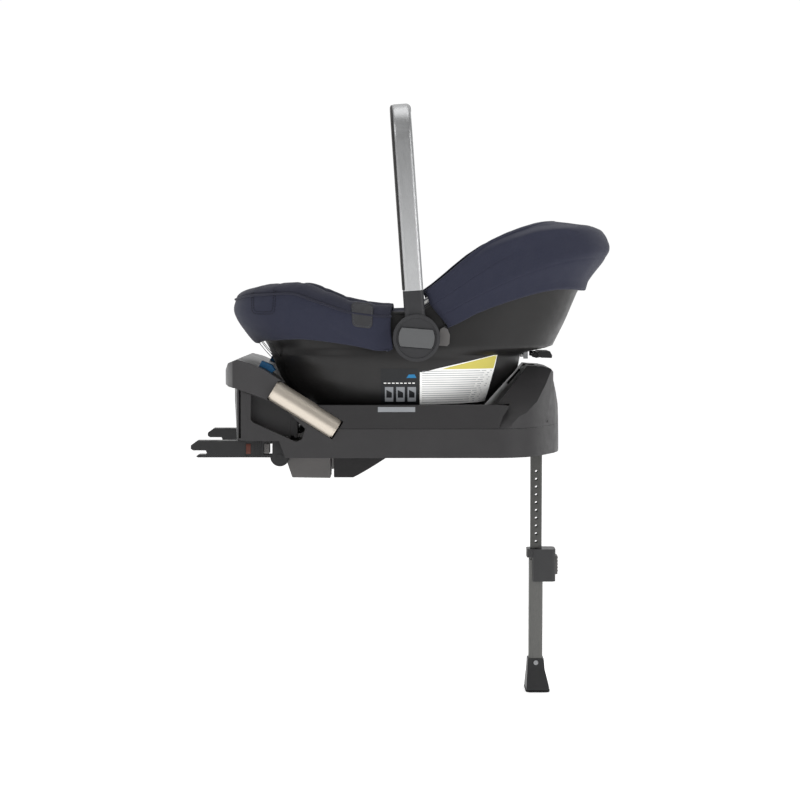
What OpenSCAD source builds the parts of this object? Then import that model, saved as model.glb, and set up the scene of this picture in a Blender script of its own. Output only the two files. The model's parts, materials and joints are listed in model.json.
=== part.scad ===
// Infant carrier on a vehicle base with two anchor arms and a telescoping load leg.
// Frame: z = 0 is the flat underside of the base, x = 0 is the handle's turning axis,
// +X points to the head end of the carrier and +Z points up.

/* [Carrier] */
// Half of the carrier shell's greatest width
carrier_half_w = 186; // [180:1:188]
// Thickness of the carrier shell wall
shell_wall = 4; // [3:0.5:5]
// Height of the handle's turning axis above the base underside
pivot_z = 207.4; // [205:0.5:210]
// Thickness of the quilted seat pad
pad_t = 12; // [8:1:14]
// Width of the harness webbing
webbing_w = 36; // [30:1:40]

/* [Handle] */
// Height of the handle above its turning axis, at the middle of the grip
handle_h = 398.6; // [396:0.2:402]
// Distance from the middle plane to the middle of each handle leg
handle_y = 205; // [204:0.5:206]
// Lean of the handle from upright, in degrees
handle_lean = 4; // [0:0.5:5]
// Width of the handle tube along X
tube_w = 34; // [30:1:35]
// Depth of the handle tube across its width
tube_d = 18; // [16:1:19]

/* [Base] */
// Half of the base's greatest width
base_half_w = 175; // [172:1:178]
// Wall thickness of the base mouldings
wall = 3.5; // [3:0.5:4]
// Height of the top edge of the upper tray
tray_top = 91; // [88:1:92]

/* [Anchor arms] */
// Distance from the middle plane to the middle of each anchor arm
anchor_y = 140; // [138:0.5:142]
// Thickness of each anchor arm across the base
arm_t = 24; // [20:1:26]
// Radius of the open slot that takes a 6 mm anchor bar
slot_r = 3.3; // [3.1:0.1:3.6]

/* [Load leg] */
// X of the leg's middle line
leg_x = 219; // [215:1:222]
// Height of the leg's fold pin
leg_pin_z = 16; // [15:0.5:17]
// Height of the floor under the leg, below the base underside
floor_z = -440; // [-480:1:-400]
// Distance between the leg's height holes
hole_pitch = 14.2; // [12:0.1:16]
// Radius of the leg's height holes
hole_r = 2.6; // [2:0.1:3]

/* [Hidden] */
$fn = 72;

shell_black = "#322f2e";
base_grey = "#414041";
gloss_grey = "#6a6a6b";
navy = "#3b3e4b";
steel = "#9a9b9d";
champagne = "#c4bbb0";
hub_grey = "#57585c";

eps = 0.01;

// ---------- helpers ----------

// Children drawn in (x, z) become a solid between y0 and y1.
module along_y(y0, y1) {
    translate([0, y1, 0]) rotate([90, 0, 0]) linear_extrude(y1 - y0) children();
}

// Children drawn in (y, z) become a solid between x0 and x1.
module along_x(x0, x1) {
    translate([x0, 0, 0]) rotate([90, 0, 90]) linear_extrude(x1 - x0) children();
}

module rod_y(x, z, r, y0, y1) {
    translate([x, y1, z]) rotate([90, 0, 0]) cylinder(r = r, h = y1 - y0);
}

// A box from its low corner to its high corner.
module span(lo, hi) {
    translate(lo) cube(hi - lo);
}

module both_sides() {
    children();
    mirror([0, 1, 0]) children();
}

// A flat rectangle with round corners, centred on the origin.
module rounded_rect(w, h, r) {
    corners = [[1, 1, 0], [-1, 1, 90], [-1, -1, 180], [1, -1, 270]];
    polygon([for (c = corners, a = [0:18:90])
        [c[0] * (w / 2 - r) + r * cos(c[2] + a), c[1] * (h / 2 - r) + r * sin(c[2] + a)]]);
}

// Half outlines (x, y >= 0) are mirrored into full ones.
function mirrored(half) = concat(half, [for (i = [len(half) - 1:-1:0]) [half[i][0], -half[i][1]]]);

function bezier(a, b, c, n) = [for (i = [0:n])
    let (t = i / n) a * (1 - t) * (1 - t) + b * 2 * t * (1 - t) + c * t * t];

function flat_list(rows) = [for (r = rows) each r];

// ---------- carrier bucket, as stacked superellipses ----------

// Foot-end and head-end x of the shell, and its half width, against z.
shell_left = [[45, -110], [60, -165], [80, -198], [107, -223], [132, -241], [164, -255],
    [184, -262], [210, -278], [230, -288], [250, -294], [290, -292]];
shell_right = [[45, 90], [150, 184], [180, 189], [184, 243], [234, 268], [286, 290],
    [320, 310], [360, 326], [400, 330]];
shell_half = [[45, 80], [60, 115], [90, 150], [130, 172], [165, carrier_half_w - 1],
    [190, carrier_half_w], [400, carrier_half_w]];

// The seating surface inside the foam.
foam_left = [[78, -115], [95, -160], [130, -203], [170, -232], [210, -250], [250, -266], [300, -268]];
foam_right = [[78, -30], [95, 18], [120, 62], [150, 104], [190, 158], [230, 208], [270, 250],
    [310, 284], [350, 304], [400, 310]];
foam_half = [[78, 62], [95, 92], [120, 122], [150, 142], [200, 158], [250, 164], [400, 166]];

rim_height = [[-300, 276], [-265, 286], [-200, 290], [-165, 277], [-110, 258], [-50, 250], [10, 252],
    [31, 268], [71, 316], [125, 356], [160, 370], [206, 385], [250, 391], [330, 386]];

super_n = 2.6;
function spow(v, p) = sign(v) * pow(abs(v), p);
function ring_x(l, r, d, t) = (l + r) / 2 + ((r - l) / 2 - d) * spow(cos(t), 2 / super_n);
function ring_y(w, d, t) = (w - d) * spow(sin(t), 2 / super_n);

// A point of the shell at height z and angle t, moved inward by d.
function shell_pt(z, t, d) = [
    ring_x(lookup(z, shell_left), lookup(z, shell_right), d, t),
    ring_y(lookup(z, shell_half), d, t)];
function foam_pt(z, t, d) = [
    ring_x(lookup(z, foam_left), lookup(z, foam_right), d, t),
    ring_y(lookup(z, foam_half), d, t)];

// Height of the shell's rim at angle t.
function rim_z(t) = lookup(shell_pt(280, t, 0)[0], rim_height);

ring_n = 40;
angles = [for (i = [0:ring_n - 1]) i * 360 / ring_n];
shell_z = [45, 60, 80, 107, 132, 150, 165, 180, 184, 210, 230];
rim_steps = 4;
shell_levels = len(shell_z) + rim_steps;

// Height of level j at angle t, from floor z0 up to the rim lowered by drop.
function level_z(j, t, z0, drop) = j < len(shell_z)
    ? z0 + (shell_z[j] - shell_z[0]) * (230 - z0) / (230 - shell_z[0])
    : 230 + (rim_z(t) - drop - 230) * (j - len(shell_z) + 1) / rim_steps;

// One level of the shell surface, moved inward and up by d; the rim stays level.
function shell_row(j, d, drop) = [for (t = angles)
    let (z = level_z(j, t, shell_z[0], drop), p = shell_pt(z, t, d),
         lift = d * min(1, max(0, (235 - z) / 50)))
    [p[0], p[1], z + lift]];
function foam_row(j, d, drop) = [for (t = angles)
    let (z = level_z(j, t, 78, drop), p = foam_pt(z, t, d),
         lift = d * min(1, max(0, (235 - z) / 50)))
    [p[0], p[1], z + lift]];

// A closed bucket between an outer and an inner stack of rings, both with a floor.
module bucket(outer, inner) {
    m = len(outer);
    n = len(outer[0]);
    wall_faces = [for (j = [0:m - 2], i = [0:n - 1])
        let (a = j * n + i, b = j * n + (i + 1) % n) each [[a, a + n, b + n], [a, b + n, b]]];
    inner_faces = [for (f = wall_faces) [f[2] + m * n, f[1] + m * n, f[0] + m * n]];
    rim_faces = [for (i = [0:n - 1])
        let (a = (m - 1) * n + i, b = (m - 1) * n + (i + 1) % n)
        each [[a, a + m * n, b + m * n], [a, b + m * n, b]]];
    floor_faces = [[for (i = [0:n - 1]) i], [for (i = [n - 1:-1:0]) m * n + i]];
    polyhedron(concat(flat_list(outer), flat_list(inner)),
        concat(wall_faces, inner_faces, rim_faces, floor_faces));
}

// A closed open-edged sheet between two equal grids of points.
module thick_sheet(outer, inner) {
    m = len(outer);
    n = len(outer[0]);
    k = m * n;
    face = [for (j = [0:m - 2], i = [0:n - 2])
        let (a = j * n + i) each [[a, a + n, a + n + 1], [a, a + n + 1, a + 1]]];
    back = [for (f = face) [f[2] + k, f[1] + k, f[0] + k]];
    ends = [for (j = [0:m - 2]) let (a = j * n, b = a + n)
        each [[a, a + k, b + k], [a, b + k, b]]];
    tails = [for (j = [0:m - 2]) let (a = j * n + n - 1, b = a + n)
        each [[b, b + k, a + k], [b, a + k, a]]];
    top = [for (i = [0:n - 2]) let (a = (m - 1) * n + i)
        each [[a, a + k, a + k + 1], [a, a + k + 1, a + 1]]];
    low = [for (i = [0:n - 2]) each [[i + 1, i + 1 + k, i + k], [i + 1, i + k, i]]];
    polyhedron(concat(flat_list(outer), flat_list(inner)),
        concat(face, back, ends, tails, top, low));
}

// ---------- base ----------

base_front = 257.6;
base_plan = mirrored([[-318, 0], [-316, 120], [-309, 155], [-292, 168], [-200, base_half_w],
    [140, base_half_w], [165, 170], [190, 158], [210, 138], [228, 105], [245, 72], [254, 44],
    [base_front, 18]]);
base_plan_inner = mirrored([[-218, 0], [-218, base_half_w - wall], [139, base_half_w - wall],
    [163, 166.5], [187, 154.5], [207, 134.5], [224.5, 102], [241, 70], [250, 42], [253, 18]]);
// The tall hollow that the carrier's foot end drops into.
foot_hollow = mirrored([[-268, 0], [-268, 45], [-262, 80], [-243, 112], [-222, 135], [-190, 158],
    [-150, 165], [-60, 165], [-60, 0]]);
leg_slot_y = 34;
skid_x = [-144, -44];
skid_top = wall - 0.2;
skid_y = [46, 112];
// Middles and sizes of the rubber pads under the base
grip_x = [-5, 95];
grip_y = 80;
grip_w = 70;
grip_d = 34;
arm_recess_y = [anchor_y - 16, anchor_y + 16];

module carrier_bowl(d) {
    intersection() {
        along_x(-290, 230) polygon([[-98 + d, 41 - d], [98 - d, 41 - d], [126 + d, 56 - d],
            [151 + d, 80 - d], [159 + d, 94], [159 + d, 200], [-159 - d, 200], [-159 - d, 94],
            [-151 - d, 80 - d], [-126 - d, 56 - d]]);
        along_y(-200, 200) polygon([[-116 - d, 41 - d], [96 + d, 41 - d], [113 + d, 60 - d],
            [146 + d, 95], [205 + d, 155], [205, 200], [-290, 200], [-262 - d, 160],
            [-247 - d, 132], [-229 - d, 107], [-204 - d, 80 - d], [-171 - d, 60 - d]]);
    }
}

window_pts = [[-284, 108], [-285, 66], [-281, 61], [-207, 28], [-197, 32], [-190, 50], [-232, 90]];

module base_lower_shell() color(base_grey) {
    difference() {
        intersection() {
            along_y(-200, 200) polygon([[-225, 0], [base_front, 0], [257.5, 26], [256, 50],
                [-172.4, 50], [-205.4, 92], [-253, 98.5], [-287, 110], [-311, 118], [-318, 119],
                [-313, 64], [-310, 29], [-236, 29]]);
            linear_extrude(130) polygon(base_plan);
        }
        translate([0, 0, wall]) linear_extrude(60) polygon(base_plan_inner);
        span([-306, -160, 33], [-222, 160, 130]);
        translate([0, 0, 60]) linear_extrude(80) polygon(foot_hollow);
        both_sides() along_y(140, 190) polygon(window_pts);
        both_sides() sleeve_solid(sleeve_r + 0.6, 6);
        span([-330, -leg_slot_y, -1], [238, leg_slot_y, wall + 1]);
        span([-240, -leg_slot_y, -1], [-200, leg_slot_y, 60]);
        both_sides() span([-228, skid_y[0], -1], [-146, skid_y[1], wall + 1]);
        both_sides() span([-228, 36, wall - 1], [-205, skid_y[1] + 2, 60]);
        both_sides() span([-240, arm_recess_y[0], -1], [-60, arm_recess_y[1], 2]);
        both_sides() span([-262, arm_recess_y[0], -1], [-210, arm_recess_y[1], 31]);
        for (p = screw_spots) translate([p[0], p[1], -1]) cylinder(r = 3.05, h = 12);
        both_sides() span([skid_x[0] - 0.4, skid_y[0] - 0.4, -1],
            [skid_x[1] + 0.4, skid_y[1] + 0.4, wall + 1]);
        both_sides() for (x = grip_x)
            translate([x, grip_y, -1]) linear_extrude(2.5) rounded_rect(grip_w + 0.6, grip_d + 0.6, 8.3);
    }
    difference() {
        both_sides() span([-200, leg_slot_y, wall - eps], [238, leg_slot_y + 3, 37]);
        span([-226, -60, 24], [-150, 60, 60]);
    }
    // panels that close the rear block behind its side windows
    both_sides() along_y(136, 139) polygon([[-308, 33], [-263, 33], [-263, 36], [-206, 36],
        [-206, 90], [-253, 96], [-287, 107], [-308, 114]]);
    both_sides() span([-120, leg_slot_y + 3, wall - eps], [-117, base_half_w - wall, 36]);
    both_sides() span([40, leg_slot_y + 3, wall - eps], [43, base_half_w - wall, 36]);
    for (p = screw_spots) translate([p[0], p[1], wall - eps]) difference() {
        cylinder(r = 6.5, h = 22);
        translate([0, 0, -5]) cylinder(r = 1.7, h = 22);
    }
}

screw_spots = [for (x = [-132, -30, 70, 150], s = [-1, 1]) [x, s * 118]];

module base_upper_tray() color(base_grey) {
    difference() {
        intersection() {
            along_y(-200, 200) polygon([[-172, 50.3], [141.5, 50.3], [148.5, 71], [160.5, tray_top - 2],
                [150, tray_top], [-165, tray_top], [-205, tray_top]]);
            linear_extrude(130) polygon(base_plan);
        }
        carrier_bowl(0);
        difference() {
            intersection() {
                along_y(-200, 200) polygon([[-166, 49], [137, 49], [144, 71], [153, tray_top - 5],
                    [-196, tray_top - 5]]);
                linear_extrude(130) polygon(base_plan_inner);
            }
            carrier_bowl(3);
        }
        both_sides() sleeve_solid(sleeve_r + 0.6, 6);
        span([-191.5, -66, 61], [-180.5, 66, 100]);
    }
    difference() {
        intersection() {
            carrier_bowl(3);
            span([-180, -165, 30], [139, 165, 60]);
        }
        carrier_bowl(0);
        span([-300, -200, 50.4], [300, 200, 100]);
    }
}

tower_y = [[160, 50.3], [150, 71], [128, 92], [92, 124], [62, 155]];

module leg_tower() color(base_grey) {
    difference() {
        intersection() {
            along_y(-200, 200) polygon([[142, 50.3], [149, 71], [162.5, tray_top + 0.4],
                [141.5, tray_top + 0.4], [152, 104], [170, 124], [197, 155], [207, 154],
                [225, 153], [238, 150], [243, 144], [243, 129],
                [249, 107.5], [253.5, 86], [256, 57], [256, 50.3]]);
            linear_extrude(180) polygon(base_plan);
            along_x(100, 300) polygon(concat([for (p = tower_y) [p[0] + 14, p[1]]],
                [for (i = [len(tower_y) - 1:-1:0]) [-tower_y[i][0] - 14, tower_y[i][1]]]));
        }
        intersection() {
            along_y(-200, 200) polygon([[146, 49], [153, 71], [166, 91], [147.5, 95.6], [156, 105.5],
                [173.5, 124], [198, 150], [225, 149], [236, 146], [239, 142], [239, 129], [245, 107],
                [249.5, 86], [252, 57], [252, 49]]);
            linear_extrude(180) polygon(base_plan_inner);
            along_x(100, 300) polygon(concat([for (p = tower_y) [p[0] + 10, p[1]]],
                [for (i = [len(tower_y) - 1:-1:0]) [-tower_y[i][0] - 10, tower_y[i][1]]]));
        }
        span([150, -26, 118], [216, 26, 160]);
    }
    // ears that carry the hook pin
    both_sides() difference() {
        span([205, 27, 96], [228, 31, 149.5]);
        rod_y(hook_pin[0], hook_pin[1], 3.02, 20, 40);
    }
    // ears that carry the leg's fold pin
    both_sides() difference() {
        span([206, 20.5, 4], [232, 25.5, 60]);
        rod_y(leg_x, leg_pin_z, 4.02, 10, 40);
    }
    both_sides() span([206, 25.5, 56], [232, 100, 60]);
    both_sides() span([206, 27, 56], [232, 31, 97]);
}

hook_pin = [214, 112];

crossbar_top = concat([[-339, 124], [-336, 146], [-326, 162], [-308, 169], [-287, 163.5],
    [-261, 152], [-232.5, 134]]);

module rear_crossbar() color(gloss_grey) {
    difference() {
        intersection() {
            along_y(-200, 200) polygon(concat(crossbar_top, [[-254, 99.4], [-287, 111.2],
                [-311, 119.3]]));
            linear_extrude(200) polygon(mirrored([[-339, 0], [-338, 50], [-334, 100], [-325, 148],
                [-316, 164], [-300, 172], [-200, 176], [-200, 0]]));
        }
        translate([0, 0, 60]) linear_extrude(120) polygon(foot_hollow);
        span([-322, -140, 90], [-275, 140, 158]);
        both_sides() sleeve_solid(sleeve_r + 0.6, 3.4);
    }
}

// The bright sleeves on the two sloping side arms of the base.
sleeve_r = 18.8;
sleeve_a = [-243.5, 115.8];
sleeve_b = [-139.8, 50.5];
sleeve_len = norm(sleeve_b - sleeve_a);
sleeve_tilt = atan2(sleeve_a[1] - sleeve_b[1], sleeve_b[0] - sleeve_a[0]);
sleeve_y = 168;

module sleeve_solid(r, extra) {
    translate([sleeve_a[0], sleeve_y, sleeve_a[1]]) rotate([0, sleeve_tilt, 0])
        translate([-extra, 0, 0]) rotate([0, 90, 0]) cylinder(r = r, h = sleeve_len + 2 * extra);
}

module trim_sleeves() color(champagne) {
    both_sides() difference() {
        sleeve_solid(sleeve_r, 0);
        sleeve_solid(sleeve_r - 1.6, 4);
        span([-300, 100, 0], [-100, 155, 200]);
    }
    // inner bar that each sleeve is slid over
    both_sides() intersection() {
        sleeve_solid(sleeve_r - 1.7, 3);
        span([-300, 157, 0], [-100, 192, 200]);
    }
}

module belt_guides() color("#1e5f8c") {
    both_sides() difference() {
        along_y(118, 146) polygon([[-272, 157.2], [-261, 152.3], [-250, 145.4], [-244, 149.5],
            [-250, 158.5], [-267, 166.5]]);
        along_y(122, 142) polygon([[-267, 158.5], [-252, 150.5], [-248.5, 151], [-252.5, 156],
            [-265.5, 162.8]]);
    }
}

module level_indicator() color("#d8dcd8") {
    mirror([0, 1, 0]) translate([177.7, -164.4, 60.5]) rotate([90, 0, 25.6]) {
        cylinder(r = 9, h = 5);
        translate([0, 0, 5 - eps]) cylinder(r = 7, h = 1.5);
    }
}

module keel_skids() color("#2d2d2e") {
    both_sides() difference() {
        along_y(skid_y[0], skid_y[1]) polygon(concat([[skid_x[0], skid_top], [skid_x[0], -40],
            [-118, -40]], bezier([-110, -40], [-84, -27], [skid_x[1], 0], 6), [[skid_x[1], skid_top]]));
        along_y(skid_y[0] + 3, skid_y[1] - 3) polygon([[skid_x[0] + 3, 1], [skid_x[0] + 3, -36.5],
            [-112, -36.5], [-84, -24], [-52, 1]]);
    }
}

module base_screws() color(steel) {
    for (p = screw_spots) translate([p[0], p[1], 0.4]) {
        difference() {
            cylinder(r = 3, h = 3);
            translate([0, 0, -1]) cylinder(r = 1.3, h = 2.2, $fn = 6);
        }
        translate([0, 0, 3 - eps]) cylinder(r = 1.7, h = 14);
    }
}

module grip_pads() color("#242424") {
    both_sides() for (x = grip_x)
        translate([x, grip_y, -1.6]) linear_extrude(3) rounded_rect(grip_w, grip_d, 8);
}

arm_pivot = [-236, 0];

module latch_pivots() color(steel) {
    both_sides() {
        rod_y(arm_pivot[0], arm_pivot[1], 5, anchor_y - 17.5, anchor_y + 17.5);
        difference() {
            union() {
                for (y = [anchor_y - 15.8, anchor_y + 12.8])
                    along_y(y, y + 3) polygon([[-248, 30.7], [-249, -6], [-240, -12], [-232, -12],
                        [-223, -6], [-222, 30.7]]);
            }
            rod_y(arm_pivot[0], arm_pivot[1], 5, anchor_y - 30, anchor_y + 30);
        }
        for (y = [anchor_y - 15.8, anchor_y + 9.8])
            span([-248, y, 28.7], [-222, y + 6, 30.7]);
    }
}

module leg_hinge_pin() color(steel) {
    rod_y(leg_x, leg_pin_z, 4, -27.5, 27.5);
    both_sides() rod_y(leg_x, leg_pin_z, 6.5, 25.6, 28);
}

module hook_pin() color(steel) {
    rod_y(hook_pin[0], hook_pin[1], 3, -32.5, 32.5);
    both_sides() rod_y(hook_pin[0], hook_pin[1], 5, 31.2, 33.5);
}

// ---------- moving parts of the base ----------

module carrier_latch() color("#8b8b8d") {
    difference() {
        union() {
            both_sides() along_y(14, 20) polygon([[210, 106], [218, 106], [221, 113], [211, 138],
                [206, 149], [197, 151], [189.5, 149.5], [189, 145], [196, 139], [202, 130], [207, 117]]);
            along_y(-20, 20) polygon([[206, 128], [212, 132], [208, 141], [202, 137]]);
            rod_y(hook_pin[0], hook_pin[1], 6.5, -26, 26);
        }
        rod_y(hook_pin[0], hook_pin[1], 3.06, -40, 40);
    }
}

module recline_foot() color("#6f706e") {
    both_sides() difference() {
        along_y(skid_y[0] + 1, skid_y[1] - 1) polygon([[-226, 26], [-226, -13], [-217, -40], [-150, -41],
            [-149.5, 26]]);
        along_y(skid_y[0] + 4, skid_y[1] - 4) polygon([[-222, 60], [-222, -12], [-214, -36.5], [-153, -37.5],
            [-153, 60]]);
    }
    span([-204, -skid_y[1] + 1, 28], [-153, skid_y[1] - 1, 31]);
    both_sides() span([-204, skid_y[0] + 1, 24], [-153, skid_y[0] + 4, 31]);
    both_sides() span([-204, skid_y[1] - 4, 24], [-153, skid_y[1] - 1, 31]);
}

// Side outline of an anchor arm: two prongs round an open slot, then the bar to its pivot.
arm_slot_z = 7.5;
module arm_outline() {
    polygon([[-379, 28], [-390, 20], [-390, 14], [-386, 11.2], [-364, 11.2], [-364, 3.8],
        [-377, 3.8], [-381, 1], [-378, -1], [-251, -1], [-246, -6], [-246, 13], [-251, 28]]);
}

module latch_arm() {
    difference() {
        union() {
            along_y(-arm_t / 2, arm_t / 2) arm_outline();
            rod_y(arm_pivot[0], arm_pivot[1], 16.5, -arm_t / 2, arm_t / 2);
        }
        rod_y(arm_pivot[0], arm_pivot[1], 5.06, -20, 20);
        rod_y(-366, arm_slot_z, slot_r, -20, 20);
        span([-395, -20, arm_slot_z - slot_r], [-366, 20, arm_slot_z + slot_r]);
        span([-352, -3, -2], [-262, 3, 24]);
        span([-384, -3, 8], [-366.5, 3, 30]);
        span([-367, -3, 12], [-344, 3, 30]);
        both_sides() span([-264, 3, 4], [-249, arm_t / 2 + 1, 25]);
        span([-264, -4, 4], [-249, 4, 25]);
        both_sides() span([-296, arm_t / 2 - 1.2, 2], [-285, arm_t / 2 + 1, 26]);
    }
    for (x = [-281:4:-269])
        both_sides() span([x, arm_t / 2 - eps, 0], [x + 1.6, arm_t / 2 + 1, 27]);
}

module latch_arm_left() color("#2b2b2c") translate([0, -anchor_y, 0]) latch_arm();
module latch_arm_right() color("#2b2b2c") translate([0, anchor_y, 0]) latch_arm();

// The sprung jaw that closes the slot behind the anchor bar.
jaw_pin = [-346, 18];
module latch_jaw() {
    along_y(-2.4, 2.4) polygon([[-380, 17.5], [-372, 13.2], [-358, 12.6], [-352, 13], [-338, 14], [-338, 22],
        [-376, 22.5]]);
    rod_y(jaw_pin[0], jaw_pin[1], 2.5, -2.9, 2.9);
}

module latch_jaw_left() color(steel) translate([0, -anchor_y, 0]) latch_jaw();
module latch_jaw_right() color(steel) translate([0, anchor_y, 0]) latch_jaw();

module latch_button() {
    span([-262.5, -arm_t / 2 - 0.8, 6], [-254, arm_t / 2 + 0.8, 23]);
    for (z = [9:3.5:20])
        both_sides() span([-261, arm_t / 2 + 0.8 - eps, z], [-256, arm_t / 2 + 1.6, z + 1.4]);
}

module latch_button_left() color("#8a8a88") translate([0, -anchor_y, 0]) latch_button();
module latch_button_right() color("#8a8a88") translate([0, anchor_y, 0]) latch_button();

// ---------- load leg ----------

upper_w = 20.6;
upper_d = 20;
lower_w = 25;
upper_top = -4;
upper_bottom = -268;
lower_top = -200;
foot_top = -381;
lock_z = -210;
hole_count = 14;
first_hole_z = lock_z + 12 * hole_pitch;

module leg_knuckle() color("#4a4a4c") {
    difference() {
        union() {
            rod_y(leg_x, leg_pin_z, 13, -19.5, 19.5);
            span([leg_x - 12.5, -15, -8], [leg_x + 12.5, 15, leg_pin_z]);
        }
        rod_y(leg_x, leg_pin_z, 4.06, -30, 30);
        span([leg_x - upper_w / 2, -upper_d / 2, -20], [leg_x + upper_w / 2, upper_d / 2, upper_top]);
    }
}

module leg_upper_tube() color(steel) {
    difference() {
        translate([leg_x, 0, upper_bottom]) linear_extrude(upper_top - upper_bottom)
            rounded_rect(upper_w, upper_d, 4);
        translate([leg_x, 0, upper_bottom - 1]) linear_extrude(upper_top - upper_bottom + 2)
            rounded_rect(upper_w - 3.6, upper_d - 3.6, 2.4);
        for (k = [0:hole_count - 1])
            rod_y(leg_x, first_hole_z - k * hole_pitch, hole_r, -20, 20);
        for (k = [0:hole_count - 1])
            translate([leg_x, 0, first_hole_z - k * hole_pitch]) rotate([0, 90, 0])
                cylinder(r = hole_r, h = 20);
    }
}

module leg_lower_tube() color("#7d7d7b") {
    difference() {
        translate([leg_x, 0, foot_top - 8]) linear_extrude(lower_top - foot_top + 8)
            rounded_rect(lower_w, lower_w, 5);
        translate([leg_x, 0, foot_top - 9]) linear_extrude(lower_top - foot_top + 10)
            rounded_rect(upper_w + 0.7, upper_d + 0.7, 4);
        translate([leg_x, 0, lock_z]) rotate([0, 90, 0]) cylinder(r = 2.4, h = 20);
    }
}

module leg_adjuster_housing() color("#2f2f31") {
    difference() {
        union() {
            translate([leg_x + 14, 0, -239]) linear_extrude(59) rounded_rect(42, 42, 8);
            translate([leg_x - 1, 0, -196]) linear_extrude(16) rounded_rect(32, 32, 6);
        }
        translate([leg_x, 0, -260]) linear_extrude(lower_top + 260)
            rounded_rect(lower_w + 0.2, lower_w + 0.2, 5);
        translate([leg_x, 0, -205]) linear_extrude(40) rounded_rect(upper_w + 0.8, upper_d + 0.8, 4);
        translate([leg_x, 0, lock_z]) rotate([0, 90, 0]) cylinder(r = 2.4, h = 24);
        span([leg_x + 16, -12, -228], [leg_x + 40, 12, -192]);
    }
}

module leg_button() color("#55565a") {
    span([leg_x + 26, -11.5, -227], [leg_x + 39, 11.5, -193]);
    for (z = [-222:6:-198]) span([leg_x + 39 - eps, -9, z], [leg_x + 40, 9, z + 2]);
}

module leg_lock_pin() color(steel) {
    translate([leg_x + 10.7, 0, lock_z]) rotate([0, 90, 0]) cylinder(r = 2.34, h = 8.3);
}

module leg_button_spring() color(steel) {
    translate([leg_x + 16.2, 0, lock_z]) rotate([0, 90, 0]) difference() {
        cylinder(r = 5, h = 6.6);
        translate([0, 0, -1]) cylinder(r = 3.6, h = 20);
    }
}

module leg_foot() color("#2c2c2e") {
    difference() {
        intersection() {
            along_y(-40, 40) polygon([[leg_x - 14.5, foot_top], [leg_x + 14.5, foot_top],
                [leg_x + 16, -400], [leg_x + 22, -424], [leg_x + 24, -436], [leg_x - 18, -436],
                [leg_x - 17, -420], [leg_x - 15.5, -400]]);
            along_x(150, 300) polygon([[-14.5, foot_top], [14.5, foot_top], [17, -400], [28, -428],
                [29, -436], [-29, -436], [-28, -428], [-17, -400]]);
        }
        translate([leg_x, 0, foot_top - 14]) linear_extrude(20)
            rounded_rect(lower_w + 0.2, lower_w + 0.2, 5);
        rod_y(leg_x, -388, 4.5, -40, 40);
    }
}

module foot_rivet() color(steel) {
    both_sides() rod_y(leg_x, -388, 4.4, 12.8, 17);
}

module foot_sole() color("#1f1f20") {
    translate([leg_x + 3, 0, floor_z]) linear_extrude(3.9) rounded_rect(44, 60, 9);
}

// ---------- carrier ----------

module carrier_shell() color(shell_black) {
    bucket([for (j = [0:shell_levels - 1]) shell_row(j, 0, 0)],
        [for (j = [0:shell_levels - 1]) shell_row(j, shell_wall, 0)]);
}

module foam_liner() color("#d9d9d6") {
    bucket([for (j = [0:shell_levels - 1]) shell_row(j, shell_wall + 1.9, 4)],
        [for (j = [0:shell_levels - 1]) foam_row(j, 0, 4)]);
}

module seat_pad() color("#33353f") {
    bucket([for (j = [0:shell_levels - 1]) foam_row(j, 0.6, 3)],
        [for (j = [0:shell_levels - 1]) foam_row(j, pad_t, 3)]);
}

// Height of the seat pad's upper surface along the middle plane.
seat_line = [[-102, 92], [-42, 90], [8, 107], [50, 132], [92, 162], [146, 202], [196, 242],
    [238, 282], [272, 322], [292, 362]];
function seat_z(x) = lookup(x, seat_line);

// A band that lies on the seat from x0 to x1, between gap0 and gap1 above it.
module seat_band(x0, x1, gap0, gap1, n) {
    xs = [for (i = [0:n]) x0 + (x1 - x0) * i / n];
    polygon(concat([for (x = xs) [x, seat_z(x) + gap0]],
        [for (i = [n:-1:0]) [xs[i], seat_z(xs[i]) + gap1]]));
}

// Fabric that wraps over the rim between two angles, as a cross-section swept along it.
// Each section point is [distance out from the shell, height, 0 = above hem / 1 = above rim].
// The distance grows by the factor 1 + swell towards the two ends of the carrier.
function wrap_rows(section, t0, t1, n, swell) = [for (s = section) [for (i = [0:n])
    let (t = t0 + (t1 - t0) * i / n, z = s[2] == 1 ? rim_z(t) + s[1] : hem_z(t) + s[1],
         p = shell_pt(min(z, rim_z(t)), t, -s[0] * (1 + swell * cos(t) * cos(t))))
    [p[0], p[1], z]]];

foot_hem = [[-290, 192], [-268, 200], [-230, 203], [-199, 204.5], [-165, 201], [-114, 194],
    [-76, 186], [-50, 183]];
head_hem = [[54, 226], [74, 235], [100, 249], [125, 259], [160, 271], [194, 281], [219, 287],
    [245, 291], [300, 288]];
function hem_z(t) = let (x = shell_pt(230, t, 0)[0])
    x < 0 ? lookup(x, foot_hem) : lookup(x, head_hem);

module foot_cover() color(navy) {
    outer = [[8, 0, 0], [11, 25, 0], [12, 45, 0], [8, 4, 1], [-2, 11, 1], [-14, 9, 1], [-18, 0.5, 1]];
    inner = [[2.8, 0, 0], [2.8, 25, 0], [2.8, 45, 0], [2.8, 3, 1], [-2, 4.5, 1], [-6, 4, 1], [-8, 1.5, 1]];
    thick_sheet(wrap_rows(outer, 94, 266, 32, 1.6), wrap_rows(inner, 94, 266, 32, 0));
}

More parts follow.
